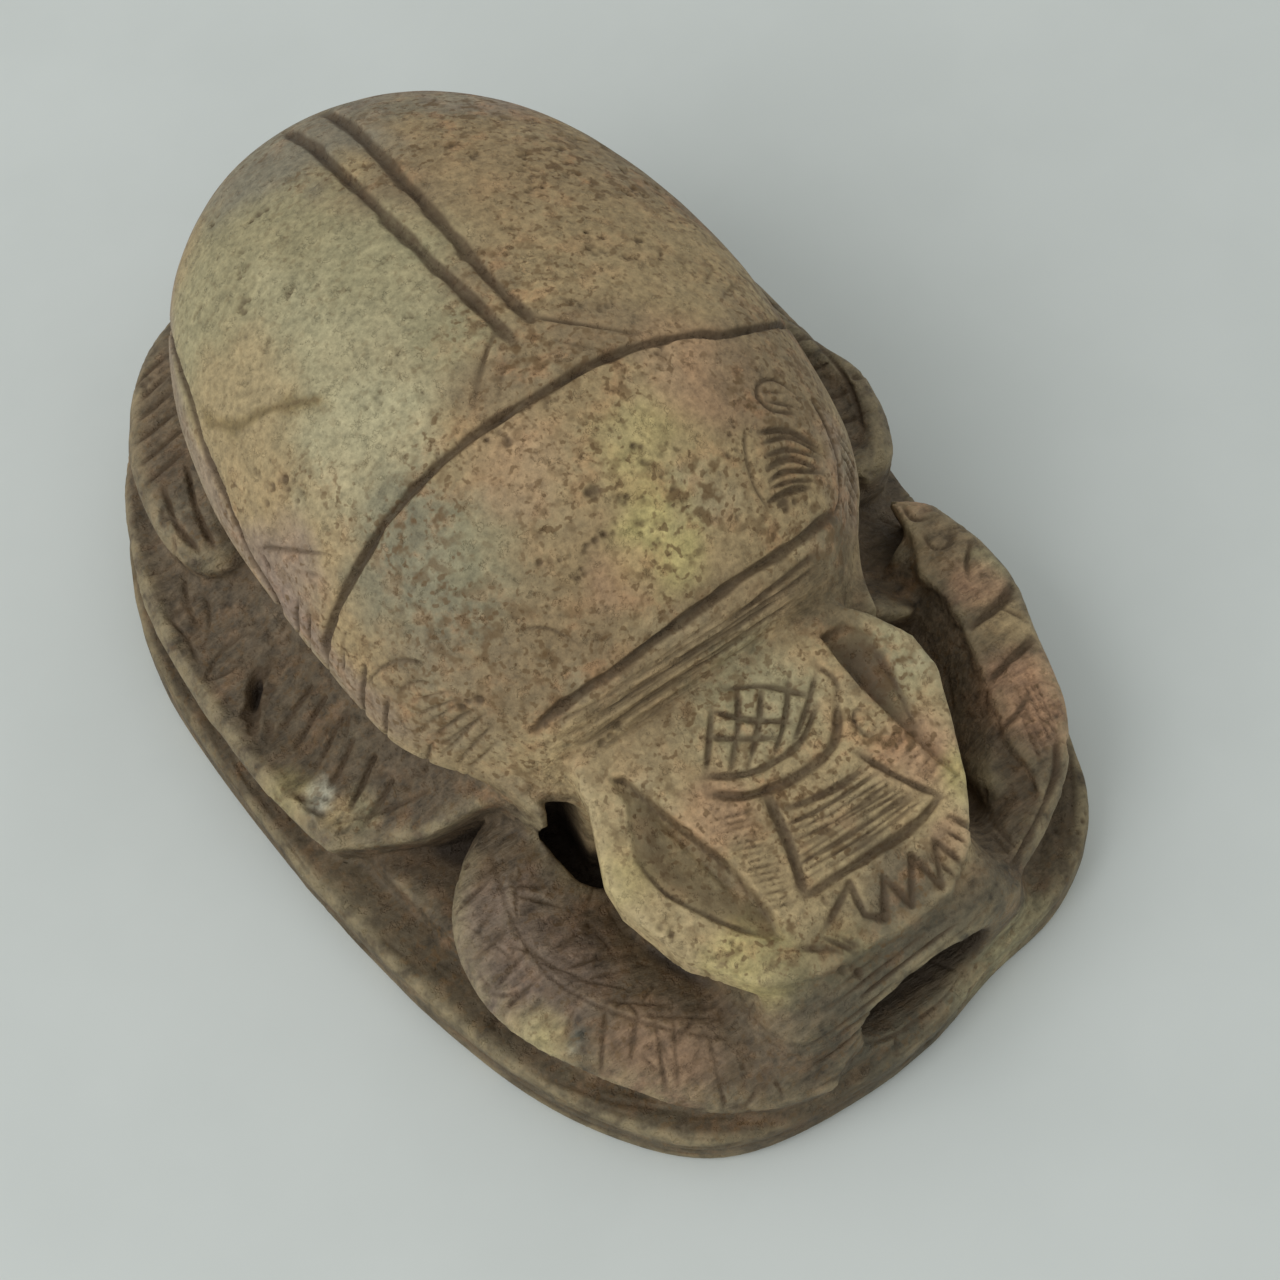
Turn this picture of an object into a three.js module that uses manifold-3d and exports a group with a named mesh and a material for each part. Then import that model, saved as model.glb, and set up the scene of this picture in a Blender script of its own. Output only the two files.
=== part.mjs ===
// A large scarab amulet: a beetle with folded legs on an oval base, carved from one stone and pierced
// lengthwise.
// Millimetres, +Z up. The base stands on z = 0 and is centred on the origin, and the beetle faces -Y.
import * as THREE from 'three';
import { mergeVertices } from 'three/addons/utils/BufferGeometryUtils.js';
import Module from 'manifold-3d';

// Oval base. The front is blunter than the rear, and the rear is a little wider.
const BASE_FRONT = 29.9;
const BASE_REAR = 30.1;
const BASE_MIDDLE_Y = -0.1;
const BASE_HALF_WIDTH = 20.45;
const BASE_FRONT_POWER = 2.92;
const BASE_REAR_POWER = 2.28;
const BASE_TAPER = 0.05;
const BASE_SKEW = -0.02;
const BASE_HEIGHT = 3.0;
const BASE_ROUNDING = 0.55;

// How deep what stands on the base is let into it.
const FOOT_DEPTH = 0.8;

// The beetle is carved a little to the right of the base's middle.
const BODY_X = 0.35;

// Wing cases and thorax: one dome over a rim that drops towards the head.
const BODY_REAR_Y = 29.3;
const BODY_WIDEST_Y = 6.4;
const BODY_FRONT_Y = -9.5;
const BODY_HALF_WIDTH = 15.4;
const BODY_FRONT_HALF_WIDTH = 13.2;
const BODY_POWER = 2.23;
const RIM_REAR_Z = 13.8;
const RIM_FRONT_Z = 11.9;
const RIM_DEPTH = 1.3;
const CREST_Y = 2.7;
const CREST_Z = 24.9;
const CREST_REAR_POWER = 1.95;
const THORAX_FRONT_Z = 18.6;
const THORAX_FACE_LEAN = 0.27;
const FLANK_INSET = 2.2;

// Lines cut into the back.
const THORAX_LINE_Y = 1.2;
const WING_LINE_X = 0.75;
const LINE_WIDTH = 0.55;
const SHOULDER_ANGLE = 1.22;

// Legs: a low tier all round, the hind pair lying on it.
const TIER_EDGE_Z = 6.4;
const TIER_FRONT_Z = 4.5;
const TIER_INSET = 1.0;
const TIER_LIP = 0.5;
const TIER_WAIST_INSET = 1.1;
const TIER_FOOT_INSET = 1.6;
const TIER_KNEE_INSET = 4.4;
const TIER_KNEE_Z = 8.6;
const TIER_KNEE_RISE = 1.8;
const TIER_SHOULDER_INSET = 7.4;
const TIER_SHOULDER_Z = 11.2;
const TIER_SHOULDER_FRONT_Z = 5.8;
const TIER_TOP_INSET = 11.5;
const TIER_TOP_Z = 12.4;
const TIER_TOP_FRONT_Z = 5.2;
const TIER_FALL_LEAD = 3;
const TIER_FALL_LENGTH = 6;
const TIER_DIP_Y = -21;
const TIER_DIP_LENGTH = 8;
const HIND_LEG_Z = 9.7;
const HIND_LEG_INSET = 1.9;
const HIND_LEG_TIP_Y = 11.2;
const HIND_LEG_REAR_Y = 27.2;
const HIND_LEG_REAR_X = 3;
const HIND_LEG_INNER_X = 12.6;
const HIND_LEG_INNER_BACK = 1.8;
const HIND_LEG_CLAW_X = 15.2;
const HIND_LEG_CLAW_REACH = 1.2;
const NOTCH_INNER_X = 13.9;
const NOTCH_INNER_Y = -9.0;
const NOTCH_BEND = [16.4, -11.2];
const NOTCH_FRONT_X = 17.3;
const NOTCH_FRONT_Y = -17;
const NOTCH_REAR_Y = -3.2;
const NOTCH_OUTER_X = 24;
const CHANNEL_FLOOR_Z = 3.9;
const CHANNEL_INNER = [8.0, 9.4, 6.6];
const CHANNEL_OUTER = [8.4, 12.6, 12.4, 12.2];
const CHANNEL_REAR_Y = -10.2;
const CHANNEL_BEND_Y = -21;
const CHANNEL_TIP_Y = 2.4;

// Head plate, its top falling to the front.
const HEAD_NECK_Y = -11.4;
const HEAD_NECK_HALF_WIDTH = 7.9;
const HEAD_WIDEST_Y = -16.6;
const HEAD_HALF_WIDTH = 10.1;
const HEAD_FRONT_Y = -27.0;
const HEAD_FRONT_HALF_WIDTH = 5.4;
const HEAD_NECK_Z = 14.3;
const HEAD_FRONT_Z = 10.4;
const HEAD_PLATE_DEPTH = 2.2;
const CHEEK_DEPTH = 0.8;
const CHEEK_CORNERS = [
  [6.6, -13.2],
  [8.6, -17.4],
  [4.6, -24.4],
  [4.9, -19.2],
];
const HEAD_WALL_INSET = 1.5;
const HEAD_WALL_Z = 6;
const HEAD_EDGE = 0.5;

// Threading hole, a flattened tunnel from end to end.
const HOLE_X = 2.0;
const HOLE_Z = 5.95;
const HOLE_HALF_WIDTH = 4.2;
const HOLE_HALF_HEIGHT = 2.35;
const HOLE_POWER = 3.2;

const OVAL_STEPS = 88;
const DOME_STEPS = 44;
const HEAD_STEPS = 56;
const HOLE_STEPS = 28;

const wasm = await Module();
wasm.setup();

const stone = new THREE.MeshStandardMaterial({ color: 0x8f8366, roughness: 0.72, metalness: 0.0 });

// A closed three.js geometry as a solid that can be joined and cut.
function solid(geometry) {
  const plain = geometry.clone();
  plain.deleteAttribute('normal');
  plain.deleteAttribute('uv');
  const merged = mergeVertices(plain, 1e-4);
  const vertProperties = new Float32Array(merged.attributes.position.array);
  const triVerts = new Uint32Array(merged.index.array);
  return new wasm.Manifold(new wasm.Mesh({ numProp: 3, vertProperties, triVerts }));
}

// The joined solid as a three.js geometry with flat faces.
function geometryOf(body) {
  const mesh = body.getMesh();
  const geometry = new THREE.BufferGeometry();
  geometry.setAttribute('position', new THREE.BufferAttribute(new Float32Array(mesh.vertProperties), 3));
  geometry.setIndex(new THREE.BufferAttribute(new Uint32Array(mesh.triVerts), 1));
  const flat = geometry.toNonIndexed();
  flat.computeVertexNormals();
  return flat;
}

// A skin over closed rings of points that have the same count. The first ring is the top one, and the
// points run anticlockwise as seen from there.
function loft(rings) {
  const count = rings[0].length;
  const skin = new THREE.CylinderGeometry(1, 1, 1, count, rings.length - 1);
  const place = skin.getAttribute('position');
  const middle = (ring) => ring.reduce((sum, p) => sum.add(p), new THREE.Vector3()).divideScalar(count);
  const hubs = rings.map(middle);
  for (let i = 0; i < place.count; i += 1) {
    const level = Math.round((0.5 - place.getY(i)) * (rings.length - 1));
    const onAxis = Math.hypot(place.getX(i), place.getZ(i)) < 0.5;
    const turn = Math.atan2(place.getX(i), place.getZ(i)) / (2 * Math.PI);
    const step = (Math.round(turn * count) + count) % count;
    const spot = onAxis ? hubs[level] : rings[level][step];
    place.setXYZ(i, spot.x, spot.y, spot.z);
  }
  return solid(skin);
}

// A ring at one height round a closed outline.
function ringOf(outline, z) {
  return outline.getSpacedPoints(HEAD_STEPS).slice(0, HEAD_STEPS).map((p) => new THREE.Vector3(p.x, p.y, z));
}

// A straight-sided solid over an outline.
function prism(outline, bottom, top) {
  const settings = { depth: top - bottom, bevelEnabled: false, curveSegments: 10 };
  const block = new THREE.ExtrudeGeometry(outline, settings);
  block.translate(0, 0, bottom);
  return solid(block);
}

function signedPower(value, power) {
  return Math.sign(value) * Math.abs(value) ** power;
}

function blend(from, to, share) {
  return from + (to - from) * Math.min(Math.max(share, 0), 1);
}

// A point on the base's oval, drawn in by inset.
function ovalPoint(angle, inset) {
  const reach = Math.sin(angle) > 0 ? BASE_REAR : BASE_FRONT;
  const power = Math.sin(angle) > 0 ? BASE_REAR_POWER : BASE_FRONT_POWER;
  const along = signedPower(Math.sin(angle), 2 / power) * (reach - inset);
  const across = signedPower(Math.cos(angle), 2 / power) * (BASE_HALF_WIDTH - inset);
  const y = BASE_MIDDLE_Y + along;
  const x = across * (1 + (BASE_TAPER * along) / BASE_REAR) + BASE_SKEW * along;
  return new THREE.Vector2(x, y);
}

// A ring of the oval whose height may change with the place along the body.
function ovalRing(inset, heightAt) {
  const ring = [];
  for (let i = 0; i < OVAL_STEPS; i += 1) {
    const p = ovalPoint((i / OVAL_STEPS) * 2 * Math.PI, inset);
    ring.push(new THREE.Vector3(p.x, p.y, heightAt(p.y)));
  }
  return ring;
}

function plinth() {
  const level = (inset, z) => ovalRing(inset, () => z);
  return loft([
    level(BASE_ROUNDING, BASE_HEIGHT),
    level(0, BASE_HEIGHT - BASE_ROUNDING),
    level(0, BASE_ROUNDING),
    level(BASE_ROUNDING, 0),
  ]);
}

// The tier of folded legs. It rises to the body's flanks, and dips beside the head.
function limbTier() {
  const inFront = (y) => (BODY_FRONT_Y + TIER_FALL_LEAD - y) / TIER_FALL_LENGTH;
  const edge = (y) => blend(TIER_EDGE_Z, TIER_FRONT_Z, (TIER_DIP_Y - y) / TIER_DIP_LENGTH);
  return loft([
    ovalRing(TIER_TOP_INSET, (y) => blend(TIER_TOP_Z, TIER_TOP_FRONT_Z, inFront(y))),
    ovalRing(TIER_SHOULDER_INSET, (y) => blend(TIER_SHOULDER_Z, TIER_SHOULDER_FRONT_Z, inFront(y))),
    ovalRing(TIER_KNEE_INSET, (y) => blend(TIER_KNEE_Z, edge(y) + TIER_KNEE_RISE, inFront(y))),
    ovalRing(TIER_INSET + TIER_LIP, (y) => edge(y) + TIER_LIP),
    ovalRing(TIER_INSET, edge),
    ovalRing(TIER_INSET + TIER_WAIST_INSET, (y) => (edge(y) + BASE_HEIGHT) / 2),
    ovalRing(TIER_INSET + TIER_FOOT_INSET, () => BASE_HEIGHT - FOOT_DEPTH),
  ]);
}

// One hind leg, a flat blade that follows the oval from the rear to its claw.
function hindLeg(side) {
  const outline = new THREE.Shape();
  const arc = [];
  for (let i = 0; i <= 60; i += 1) {
    const p = ovalPoint((i / 60) * (Math.PI / 2), HIND_LEG_INSET);
    if (p.y > HIND_LEG_TIP_Y && p.y < HIND_LEG_REAR_Y) {
      arc.push(p);
    }
  }
  outline.moveTo(HIND_LEG_INNER_X, HIND_LEG_TIP_Y + HIND_LEG_INNER_BACK);
  outline.lineTo(HIND_LEG_CLAW_X, HIND_LEG_TIP_Y - HIND_LEG_CLAW_REACH);
  arc.forEach((p) => outline.lineTo(p.x, p.y));
  outline.lineTo(HIND_LEG_REAR_X, HIND_LEG_REAR_Y);
  outline.closePath();
  const leg = prism(outline, BASE_HEIGHT - 0.5, HIND_LEG_Z);
  return side > 0 ? leg : leg.mirror([1, 0, 0]);
}

// Half the body's width at a place along it.
function bodyHalfWidth(y) {
  if (y > BODY_WIDEST_Y) {
    const share = (y - BODY_WIDEST_Y) / (BODY_REAR_Y - BODY_WIDEST_Y);
    return BODY_HALF_WIDTH * Math.max(1 - share ** BODY_POWER, 0) ** (1 / BODY_POWER);
  }
  const share = (BODY_WIDEST_Y - y) / (BODY_WIDEST_Y - BODY_FRONT_Y);
  return BODY_HALF_WIDTH - (BODY_HALF_WIDTH - BODY_FRONT_HALF_WIDTH) * share ** 2;
}

// Height of the body's rim.
function rimHeight(y) {
  return blend(RIM_REAR_Z, RIM_FRONT_Z, (BODY_WIDEST_Y - y) / (BODY_WIDEST_Y - BODY_FRONT_Y));
}

// Height of the body on its middle line.
function crestHeight(y) {
  if (y > CREST_Y) {
    const share = (y - CREST_Y) / (BODY_REAR_Y + 0.5 - CREST_Y);
    const round = Math.max(1 - share ** CREST_REAR_POWER, 0) ** (1 / CREST_REAR_POWER);
    return RIM_REAR_Z + (CREST_Z - RIM_REAR_Z) * round;
  }
  const share = (CREST_Y - y) / (CREST_Y - BODY_FRONT_Y);
  return CREST_Z - (CREST_Z - THORAX_FRONT_Z) * share ** 2;
}

// A point on the body's back: turn runs from 0 at the right rim to pi at the left one.
function backPoint(y, turn) {
  const rim = rimHeight(y);
  const x = BODY_X + bodyHalfWidth(y) * Math.cos(turn);
  return new THREE.Vector3(x, y, rim + (crestHeight(y) - rim) * Math.sin(turn));
}

// The domed back. Its front face leans forward down to the neck.
function back() {
  const rings = [];
  const count = 26;
  for (let i = 0; i <= count; i += 1) {
    const share = Math.sin((i / count) * (Math.PI / 2)) ** 1.2;
    const y = blend(BODY_FRONT_Y, BODY_REAR_Y - 0.04, share);
    const lean = i === 0 ? THORAX_FACE_LEAN : 0;
    const ring = [];
    for (let step = 0; step < DOME_STEPS; step += 1) {
      const turn = Math.PI / 2 - (step / DOME_STEPS) * 2 * Math.PI;
      const p = backPoint(y, turn);
      if (Math.sin(turn) < 0) {
        p.z = rimHeight(y) + RIM_DEPTH * Math.sin(turn);
      }
      p.y -= lean * (crestHeight(y) - p.z);
      ring.push(p);
    }
    rings.unshift(ring);
  }
  return loft(rings);
}

// The body below its rim, drawn in so that the rim overhangs the legs.
function flanks() {
  const outline = new THREE.Shape();
  const count = 24;
  const front = BODY_FRONT_Y - 1.2;
  outline.moveTo(BODY_X - BODY_FRONT_HALF_WIDTH + FLANK_INSET, front);
  outline.lineTo(BODY_X + BODY_FRONT_HALF_WIDTH - FLANK_INSET, front);
  const side = [];
  for (let i = 0; i < count; i += 1) {
    const y = blend(BODY_FRONT_Y, BODY_REAR_Y - FLANK_INSET, Math.sin((i / count) * (Math.PI / 2)));
    side.push([bodyHalfWidth(y + (FLANK_INSET * i) / count) - FLANK_INSET, y]);
  }
  side.forEach(([x, y]) => outline.lineTo(BODY_X + x, y));
  side.reverse().forEach(([x, y]) => outline.lineTo(BODY_X - x, y));
  return prism(outline, BASE_HEIGHT - FOOT_DEPTH, RIM_REAR_Z - 0.4);
}

// The head plate's outline, drawn in by inset.
function headOutline(inset) {
  const outline = new THREE.Shape();
  const wide = HEAD_HALF_WIDTH - inset;
  const neck = HEAD_NECK_HALF_WIDTH - inset;
  const front = HEAD_FRONT_HALF_WIDTH - inset / 2;
  const tip = HEAD_FRONT_Y + inset;
  outline.moveTo(BODY_X - front, tip + 0.4);
  outline.quadraticCurveTo(BODY_X, tip - 0.6, BODY_X + front, tip + 0.4);
  outline.lineTo(BODY_X + front + 2, tip + 2.8);
  outline.lineTo(BODY_X + wide, HEAD_WIDEST_Y);
  outline.quadraticCurveTo(BODY_X + wide, HEAD_WIDEST_Y + 2, BODY_X + neck, HEAD_NECK_Y);
  outline.lineTo(BODY_X - neck, HEAD_NECK_Y);
  outline.quadraticCurveTo(BODY_X - wide, HEAD_WIDEST_Y + 2, BODY_X - wide, HEAD_WIDEST_Y);
  outline.lineTo(BODY_X - front - 2, tip + 2.8);
  outline.closePath();
  return outline;
}

function headTop(y) {
  return blend(HEAD_NECK_Z, HEAD_FRONT_Z, (HEAD_NECK_Y - y) / (HEAD_NECK_Y - HEAD_FRONT_Y));
}

// The head: a sloping plate with its sides cut back underneath.
function head() {
  const plate = (inset, drop) => {
    const ring = ringOf(headOutline(inset), 0);
    ring.forEach((p) => {
      p.z = headTop(p.y) - drop;
    });
    return ring;
  };
  return loft([
    plate(HEAD_EDGE, 0),
    plate(0, HEAD_EDGE),
    plate(0.1, HEAD_PLATE_DEPTH),
    ringOf(headOutline(HEAD_WALL_INSET), HEAD_WALL_Z),
    ringOf(headOutline(HEAD_WALL_INSET), BASE_HEIGHT - FOOT_DEPTH),
  ]);
}

// A sunk triangular cheek, side being 1 on the right and -1 on the left.
function cheek(side) {
  const outline = new THREE.Shape();
  const ordered = side > 0 ? CHEEK_CORNERS : CHEEK_CORNERS.slice().reverse();
  ordered.forEach(([x, y], i) => {
    const put = i === 0 ? 'moveTo' : 'lineTo';
    outline[put](BODY_X + side * x, y);
  });
  outline.closePath();
  const block = new THREE.ExtrudeGeometry(outline, { depth: 4, bevelEnabled: false });
  const place = block.getAttribute('position');
  for (let i = 0; i < place.count; i += 1) {
    place.setZ(i, place.getZ(i) + headTop(place.getY(i)) - CHEEK_DEPTH);
  }
  return solid(block);
}

// A rounded trapezium, wide in front, that the front slope is built on.
function slopeOutline(halfWidth, frontY) {
  const outline = new THREE.Shape();
  const rearY = HEAD_FRONT_Y + 6;
  const corner = 2.4;
  outline.moveTo(BODY_X - halfWidth, rearY);
  outline.lineTo(BODY_X - halfWidth, frontY + corner);
  outline.quadraticCurveTo(BODY_X - halfWidth, frontY, BODY_X - halfWidth + 2 * corner, frontY);
  outline.lineTo(BODY_X + halfWidth - 2 * corner, frontY);
  outline.quadraticCurveTo(BODY_X + halfWidth, frontY, BODY_X + halfWidth, frontY + corner);
  outline.lineTo(BODY_X + halfWidth, rearY);
  outline.closePath();
  return outline;
}

// The slope below the head's front edge, in which the threading hole opens.
function frontSlope() {
  return loft([
    ringOf(slopeOutline(HEAD_FRONT_HALF_WIDTH + 0.6, HEAD_FRONT_Y + 0.1), HEAD_FRONT_Z - 0.9),
    ringOf(slopeOutline(HEAD_FRONT_HALF_WIDTH + 1.6, HEAD_FRONT_Y - 0.8), HEAD_FRONT_Z - 2.6),
    ringOf(slopeOutline(HEAD_FRONT_HALF_WIDTH + 2.6, HEAD_FRONT_Y - 1.5), TIER_FRONT_Z + 1.3),
    ringOf(slopeOutline(HEAD_FRONT_HALF_WIDTH + 3.6, HEAD_FRONT_Y - 2.4), BASE_HEIGHT - 0.4),
  ]);
}

// The neck, between the thorax's front face and the head.
function neck() {
  const outline = new THREE.Shape();
  outline.moveTo(BODY_X - HEAD_NECK_HALF_WIDTH + 0.4, HEAD_NECK_Y - 2);
  outline.lineTo(BODY_X + HEAD_NECK_HALF_WIDTH - 0.4, HEAD_NECK_Y - 2);
  outline.lineTo(BODY_X + HEAD_NECK_HALF_WIDTH + 1, BODY_FRONT_Y + 2);
  outline.lineTo(BODY_X - HEAD_NECK_HALF_WIDTH - 1, BODY_FRONT_Y + 2);
  outline.closePath();
  return prism(outline, BASE_HEIGHT - FOOT_DEPTH, HEAD_NECK_Z - 0.6);
}

// The open corner between a middle leg and the foreleg in front of it.
function legNotch(side) {
  const outline = new THREE.Shape();
  outline.moveTo(NOTCH_INNER_X, NOTCH_INNER_Y);
  outline.quadraticCurveTo(...NOTCH_BEND, NOTCH_FRONT_X, NOTCH_FRONT_Y);
  outline.lineTo(NOTCH_OUTER_X, NOTCH_FRONT_Y);
  outline.lineTo(NOTCH_OUTER_X, NOTCH_REAR_Y);
  outline.closePath();
  const cut = prism(outline, BASE_HEIGHT, HEAD_NECK_Z);
  return side > 0 ? cut : cut.mirror([1, 0, 0]);
}

// The channel between the head and a foreleg. It is deepest beside the neck.
function headChannel(side) {
  const outline = new THREE.Shape();
  const [inRear, inMiddle, inTip] = CHANNEL_INNER.map((x) => BODY_X + x);
  const [outTip, outBend, outMiddle, outRear] = CHANNEL_OUTER.map((x) => BODY_X + x);
  outline.moveTo(inRear, CHANNEL_REAR_Y);
  outline.lineTo(inMiddle, HEAD_WIDEST_Y);
  outline.lineTo(inTip, HEAD_FRONT_Y + CHANNEL_TIP_Y);
  outline.lineTo(outTip, HEAD_FRONT_Y + CHANNEL_TIP_Y - 0.8);
  outline.quadraticCurveTo(outBend, CHANNEL_BEND_Y, outMiddle, HEAD_WIDEST_Y);
  outline.lineTo(outRear, CHANNEL_REAR_Y - 0.6);
  outline.closePath();
  const cut = prism(outline, CHANNEL_FLOOR_Z, HEAD_NECK_Z + 3);
  return side > 0 ? cut : cut.mirror([1, 0, 0]).translate([2 * BODY_X, 0, 0]);
}

// A groove of square section along a curve.
function groove(points) {
  const half = LINE_WIDTH / 2;
  const section = new THREE.Shape();
  section.moveTo(-half, -half);
  section.lineTo(half, -half);
  section.lineTo(half, half);
  section.lineTo(-half, half);
  section.closePath();
  const path = new THREE.CatmullRomCurve3(points);
  return solid(new THREE.ExtrudeGeometry(section, { steps: 2 * points.length, extrudePath: path }));
}

// The lines that part the thorax from the wing cases, and the wing cases from each other.
function backLines() {
  const across = [];
  for (let i = 0; i <= 14; i += 1) {
    across.push(backPoint(THORAX_LINE_Y, -0.1 + (i / 14) * (Math.PI + 0.2)));
  }
  const lines = [groove(across)];
  for (const side of [-1, 1]) {
    const along = [];
    const shoulder = [];
    for (let i = 0; i <= 10; i += 1) {
      const y = THORAX_LINE_Y + 2.4 + (i / 10) * (BODY_REAR_Y - THORAX_LINE_Y - 2.6);
      along.push(backPoint(y, Math.PI / 2 - (side * WING_LINE_X) / bodyHalfWidth(y)));
    }
    for (let i = 0; i <= 4; i += 1) {
      const turn = Math.PI / 2 - side * (0.05 + (i / 4) * (Math.PI / 2 - SHOULDER_ANGLE));
      shoulder.push(backPoint(THORAX_LINE_Y + 3.4 - (i / 4) * 3.2, turn));
    }
    lines.push(groove(along), groove(shoulder));
  }
  return lines;
}

// The threading hole: a tunnel of rounded section along the whole base.
function threadingHole() {
  const rings = [];
  for (const y of [BASE_REAR + 3, -BASE_FRONT - 3]) {
    const ring = [];
    for (let i = 0; i < HOLE_STEPS; i += 1) {
      const turn = (i / HOLE_STEPS) * 2 * Math.PI;
      const x = HOLE_X + HOLE_HALF_WIDTH * signedPower(Math.sin(turn), 2 / HOLE_POWER);
      const z = HOLE_Z + HOLE_HALF_HEIGHT * signedPower(Math.cos(turn), 2 / HOLE_POWER);
      ring.push(new THREE.Vector3(x, y, z));
    }
    rings.push(ring);
  }
  return loft(rings);
}

function scarab() {
  const sides = [-1, 1];
  let limbs = limbTier();
  sides.forEach((side) => {
    limbs = limbs.subtract(headChannel(side));
  });
  let body = plinth().add(limbs).add(flanks()).add(back()).add(neck()).add(head()).add(frontSlope());
  sides.forEach((side) => {
    body = body.add(hindLeg(side));
  });
  sides.forEach((side) => {
    body = body.subtract(legNotch(side)).subtract(cheek(side));
  });
  backLines().forEach((line) => {
    body = body.subtract(line);
  });
  body = body.subtract(threadingHole());
  const mesh = new THREE.Mesh(geometryOf(body), stone);
  mesh.name = 'scarab';
  return mesh;
}

const amulet = new THREE.Group();
amulet.add(scarab());

export default amulet;
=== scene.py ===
"""A scarab amulet, a beetle with folded legs on an oval base, carved from one stone and pierced lengthwise.

The stone is worked as a carver works it: big rounded forms are joined and cut in a block, the block's
surface is skinned, and lines, hatching, pits and chips are then cut into the skin. Sizes are in
millimetres in the shared frame, +Z up, the head towards -Y, and the finished mesh is scaled to metres.
"""
import logging
import math
from collections.abc import Iterator
from dataclasses import dataclass, field
from enum import Enum
from itertools import product

import bpy
import numpy as np
from mathutils import Matrix, Vector


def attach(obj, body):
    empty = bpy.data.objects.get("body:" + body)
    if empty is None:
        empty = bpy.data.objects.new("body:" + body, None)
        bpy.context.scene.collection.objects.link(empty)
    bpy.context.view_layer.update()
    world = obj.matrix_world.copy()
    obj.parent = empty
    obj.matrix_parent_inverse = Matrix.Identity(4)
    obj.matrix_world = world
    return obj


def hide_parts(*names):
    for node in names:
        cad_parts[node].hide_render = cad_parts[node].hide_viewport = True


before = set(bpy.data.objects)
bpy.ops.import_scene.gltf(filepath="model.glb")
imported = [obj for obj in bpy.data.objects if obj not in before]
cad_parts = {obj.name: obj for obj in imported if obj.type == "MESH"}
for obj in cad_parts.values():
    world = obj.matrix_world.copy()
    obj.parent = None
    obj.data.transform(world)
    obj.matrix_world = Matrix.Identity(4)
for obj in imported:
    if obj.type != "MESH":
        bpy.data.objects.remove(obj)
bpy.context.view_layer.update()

LOG = logging.getLogger("scarab")
METRES = 0.001
SEED = 4207
CELL = 0.3
TRIANGLE_BUDGET = 190_000

Point = tuple[float, ...]


# ---------------------------------------------------------------------------------------------------------
# Small sums
# ---------------------------------------------------------------------------------------------------------


def ramp(value: np.ndarray, low: float, high: float) -> np.ndarray:
    """A smooth rise from 0 at low to 1 at high."""
    share = np.clip((value - low) / (high - low), 0.0, 1.0)
    return share * share * (3.0 - 2.0 * share)


def joined(first: np.ndarray, second: np.ndarray, blend: float) -> np.ndarray:
    """The distance field of two bodies joined with a fillet."""
    gap = np.maximum(blend - np.abs(first - second), 0.0)
    return np.minimum(first, second) - gap * gap / (4.0 * blend)


def common(first: np.ndarray, second: np.ndarray, blend: float) -> np.ndarray:
    """The distance field of what two bodies share, with a rounded edge."""
    gap = np.maximum(blend - np.abs(first - second), 0.0)
    return np.maximum(first, second) + gap * gap / (4.0 * blend)


def carved(body: np.ndarray, tool: np.ndarray, blend: float) -> np.ndarray:
    """The distance field of a body with a tool's shape cut out of it."""
    return common(body, -tool, blend)


def curve_through(points: list[Point], steps: int = 5) -> np.ndarray:
    """A Catmull-Rom curve through a few points.

    Args:
        points: The points, in two or three dimensions.
        steps: How many short lines stand for each stretch.

    Returns:
        The points of the curve, ends included.
    """
    knots = np.array(points, float)
    knots = np.vstack([2 * knots[0] - knots[1], knots, 2 * knots[-1] - knots[-2]])
    out = []
    for before, start, end, after in zip(knots, knots[1:], knots[2:], knots[3:]):
        for t in np.arange(steps) / steps:
            out.append(0.5 * (2 * start + (end - before) * t
                              + (2 * before - 5 * start + 4 * end - after) * t**2
                              + (3 * start - before - 3 * end + after) * t**3))
    out.append(knots[-2])
    return np.array(out)


def even_steps(line: np.ndarray, spacing: float) -> np.ndarray:
    """The same line with a point at least every spacing.

    Args:
        line: The line's points.
        spacing: The longest step that is wanted.

    Returns:
        The line's points, closer together.
    """
    pieces = [line[:1]]
    for start, end in zip(line, line[1:]):
        count = max(1, int(math.ceil(np.linalg.norm(end - start) / spacing)))
        share = np.arange(1, count + 1)[:, None] / count
        pieces.append(start + (end - start) * share)
    return np.vstack(pieces)


def line_distance(points: np.ndarray, line: np.ndarray) -> np.ndarray:
    """How far each point is from a line of many short stretches, in the line's own dimensions.

    Args:
        points: The points, as many numbers each as the line's.
        line: The line's points.

    Returns:
        One distance for each point.
    """
    best = np.full(points.shape[:-1], np.inf, np.float32)
    for start, end in zip(line, line[1:]):
        along = end - start
        away = points - start
        share = np.clip((away @ along) / max(float(along @ along), 1e-12), 0.0, 1.0)
        offset = away - share[..., None] * along
        best = np.minimum(best, np.einsum("...i,...i->...", offset, offset))
    return np.sqrt(best)


def outline_distance(points: np.ndarray, outline: np.ndarray) -> np.ndarray:
    """Signed distance from plan points to a closed outline, below zero inside it.

    Args:
        points: The plan points.
        outline: The outline's points, the first not repeated.

    Returns:
        One distance for each point.
    """
    ring = np.vstack([outline, outline[:1]])
    inside = np.zeros(points.shape[:-1], bool)
    x, y = points[..., 0], points[..., 1]
    for (x0, y0), (x1, y1) in zip(ring, ring[1:]):
        if y0 == y1:
            continue
        crosses = (y0 <= y) != (y1 <= y)
        inside ^= crosses & (x < x0 + (y - y0) / (y1 - y0) * (x1 - x0))
    away = line_distance(points, ring)
    return np.where(inside, -away, away)


def mirrored(points: tuple[Point, ...], middle: float) -> tuple[Point, ...]:
    """The points on the other side of the beetle's middle line."""
    return tuple((2 * middle - p[0],) + tuple(p[1:]) for p in points)


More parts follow.
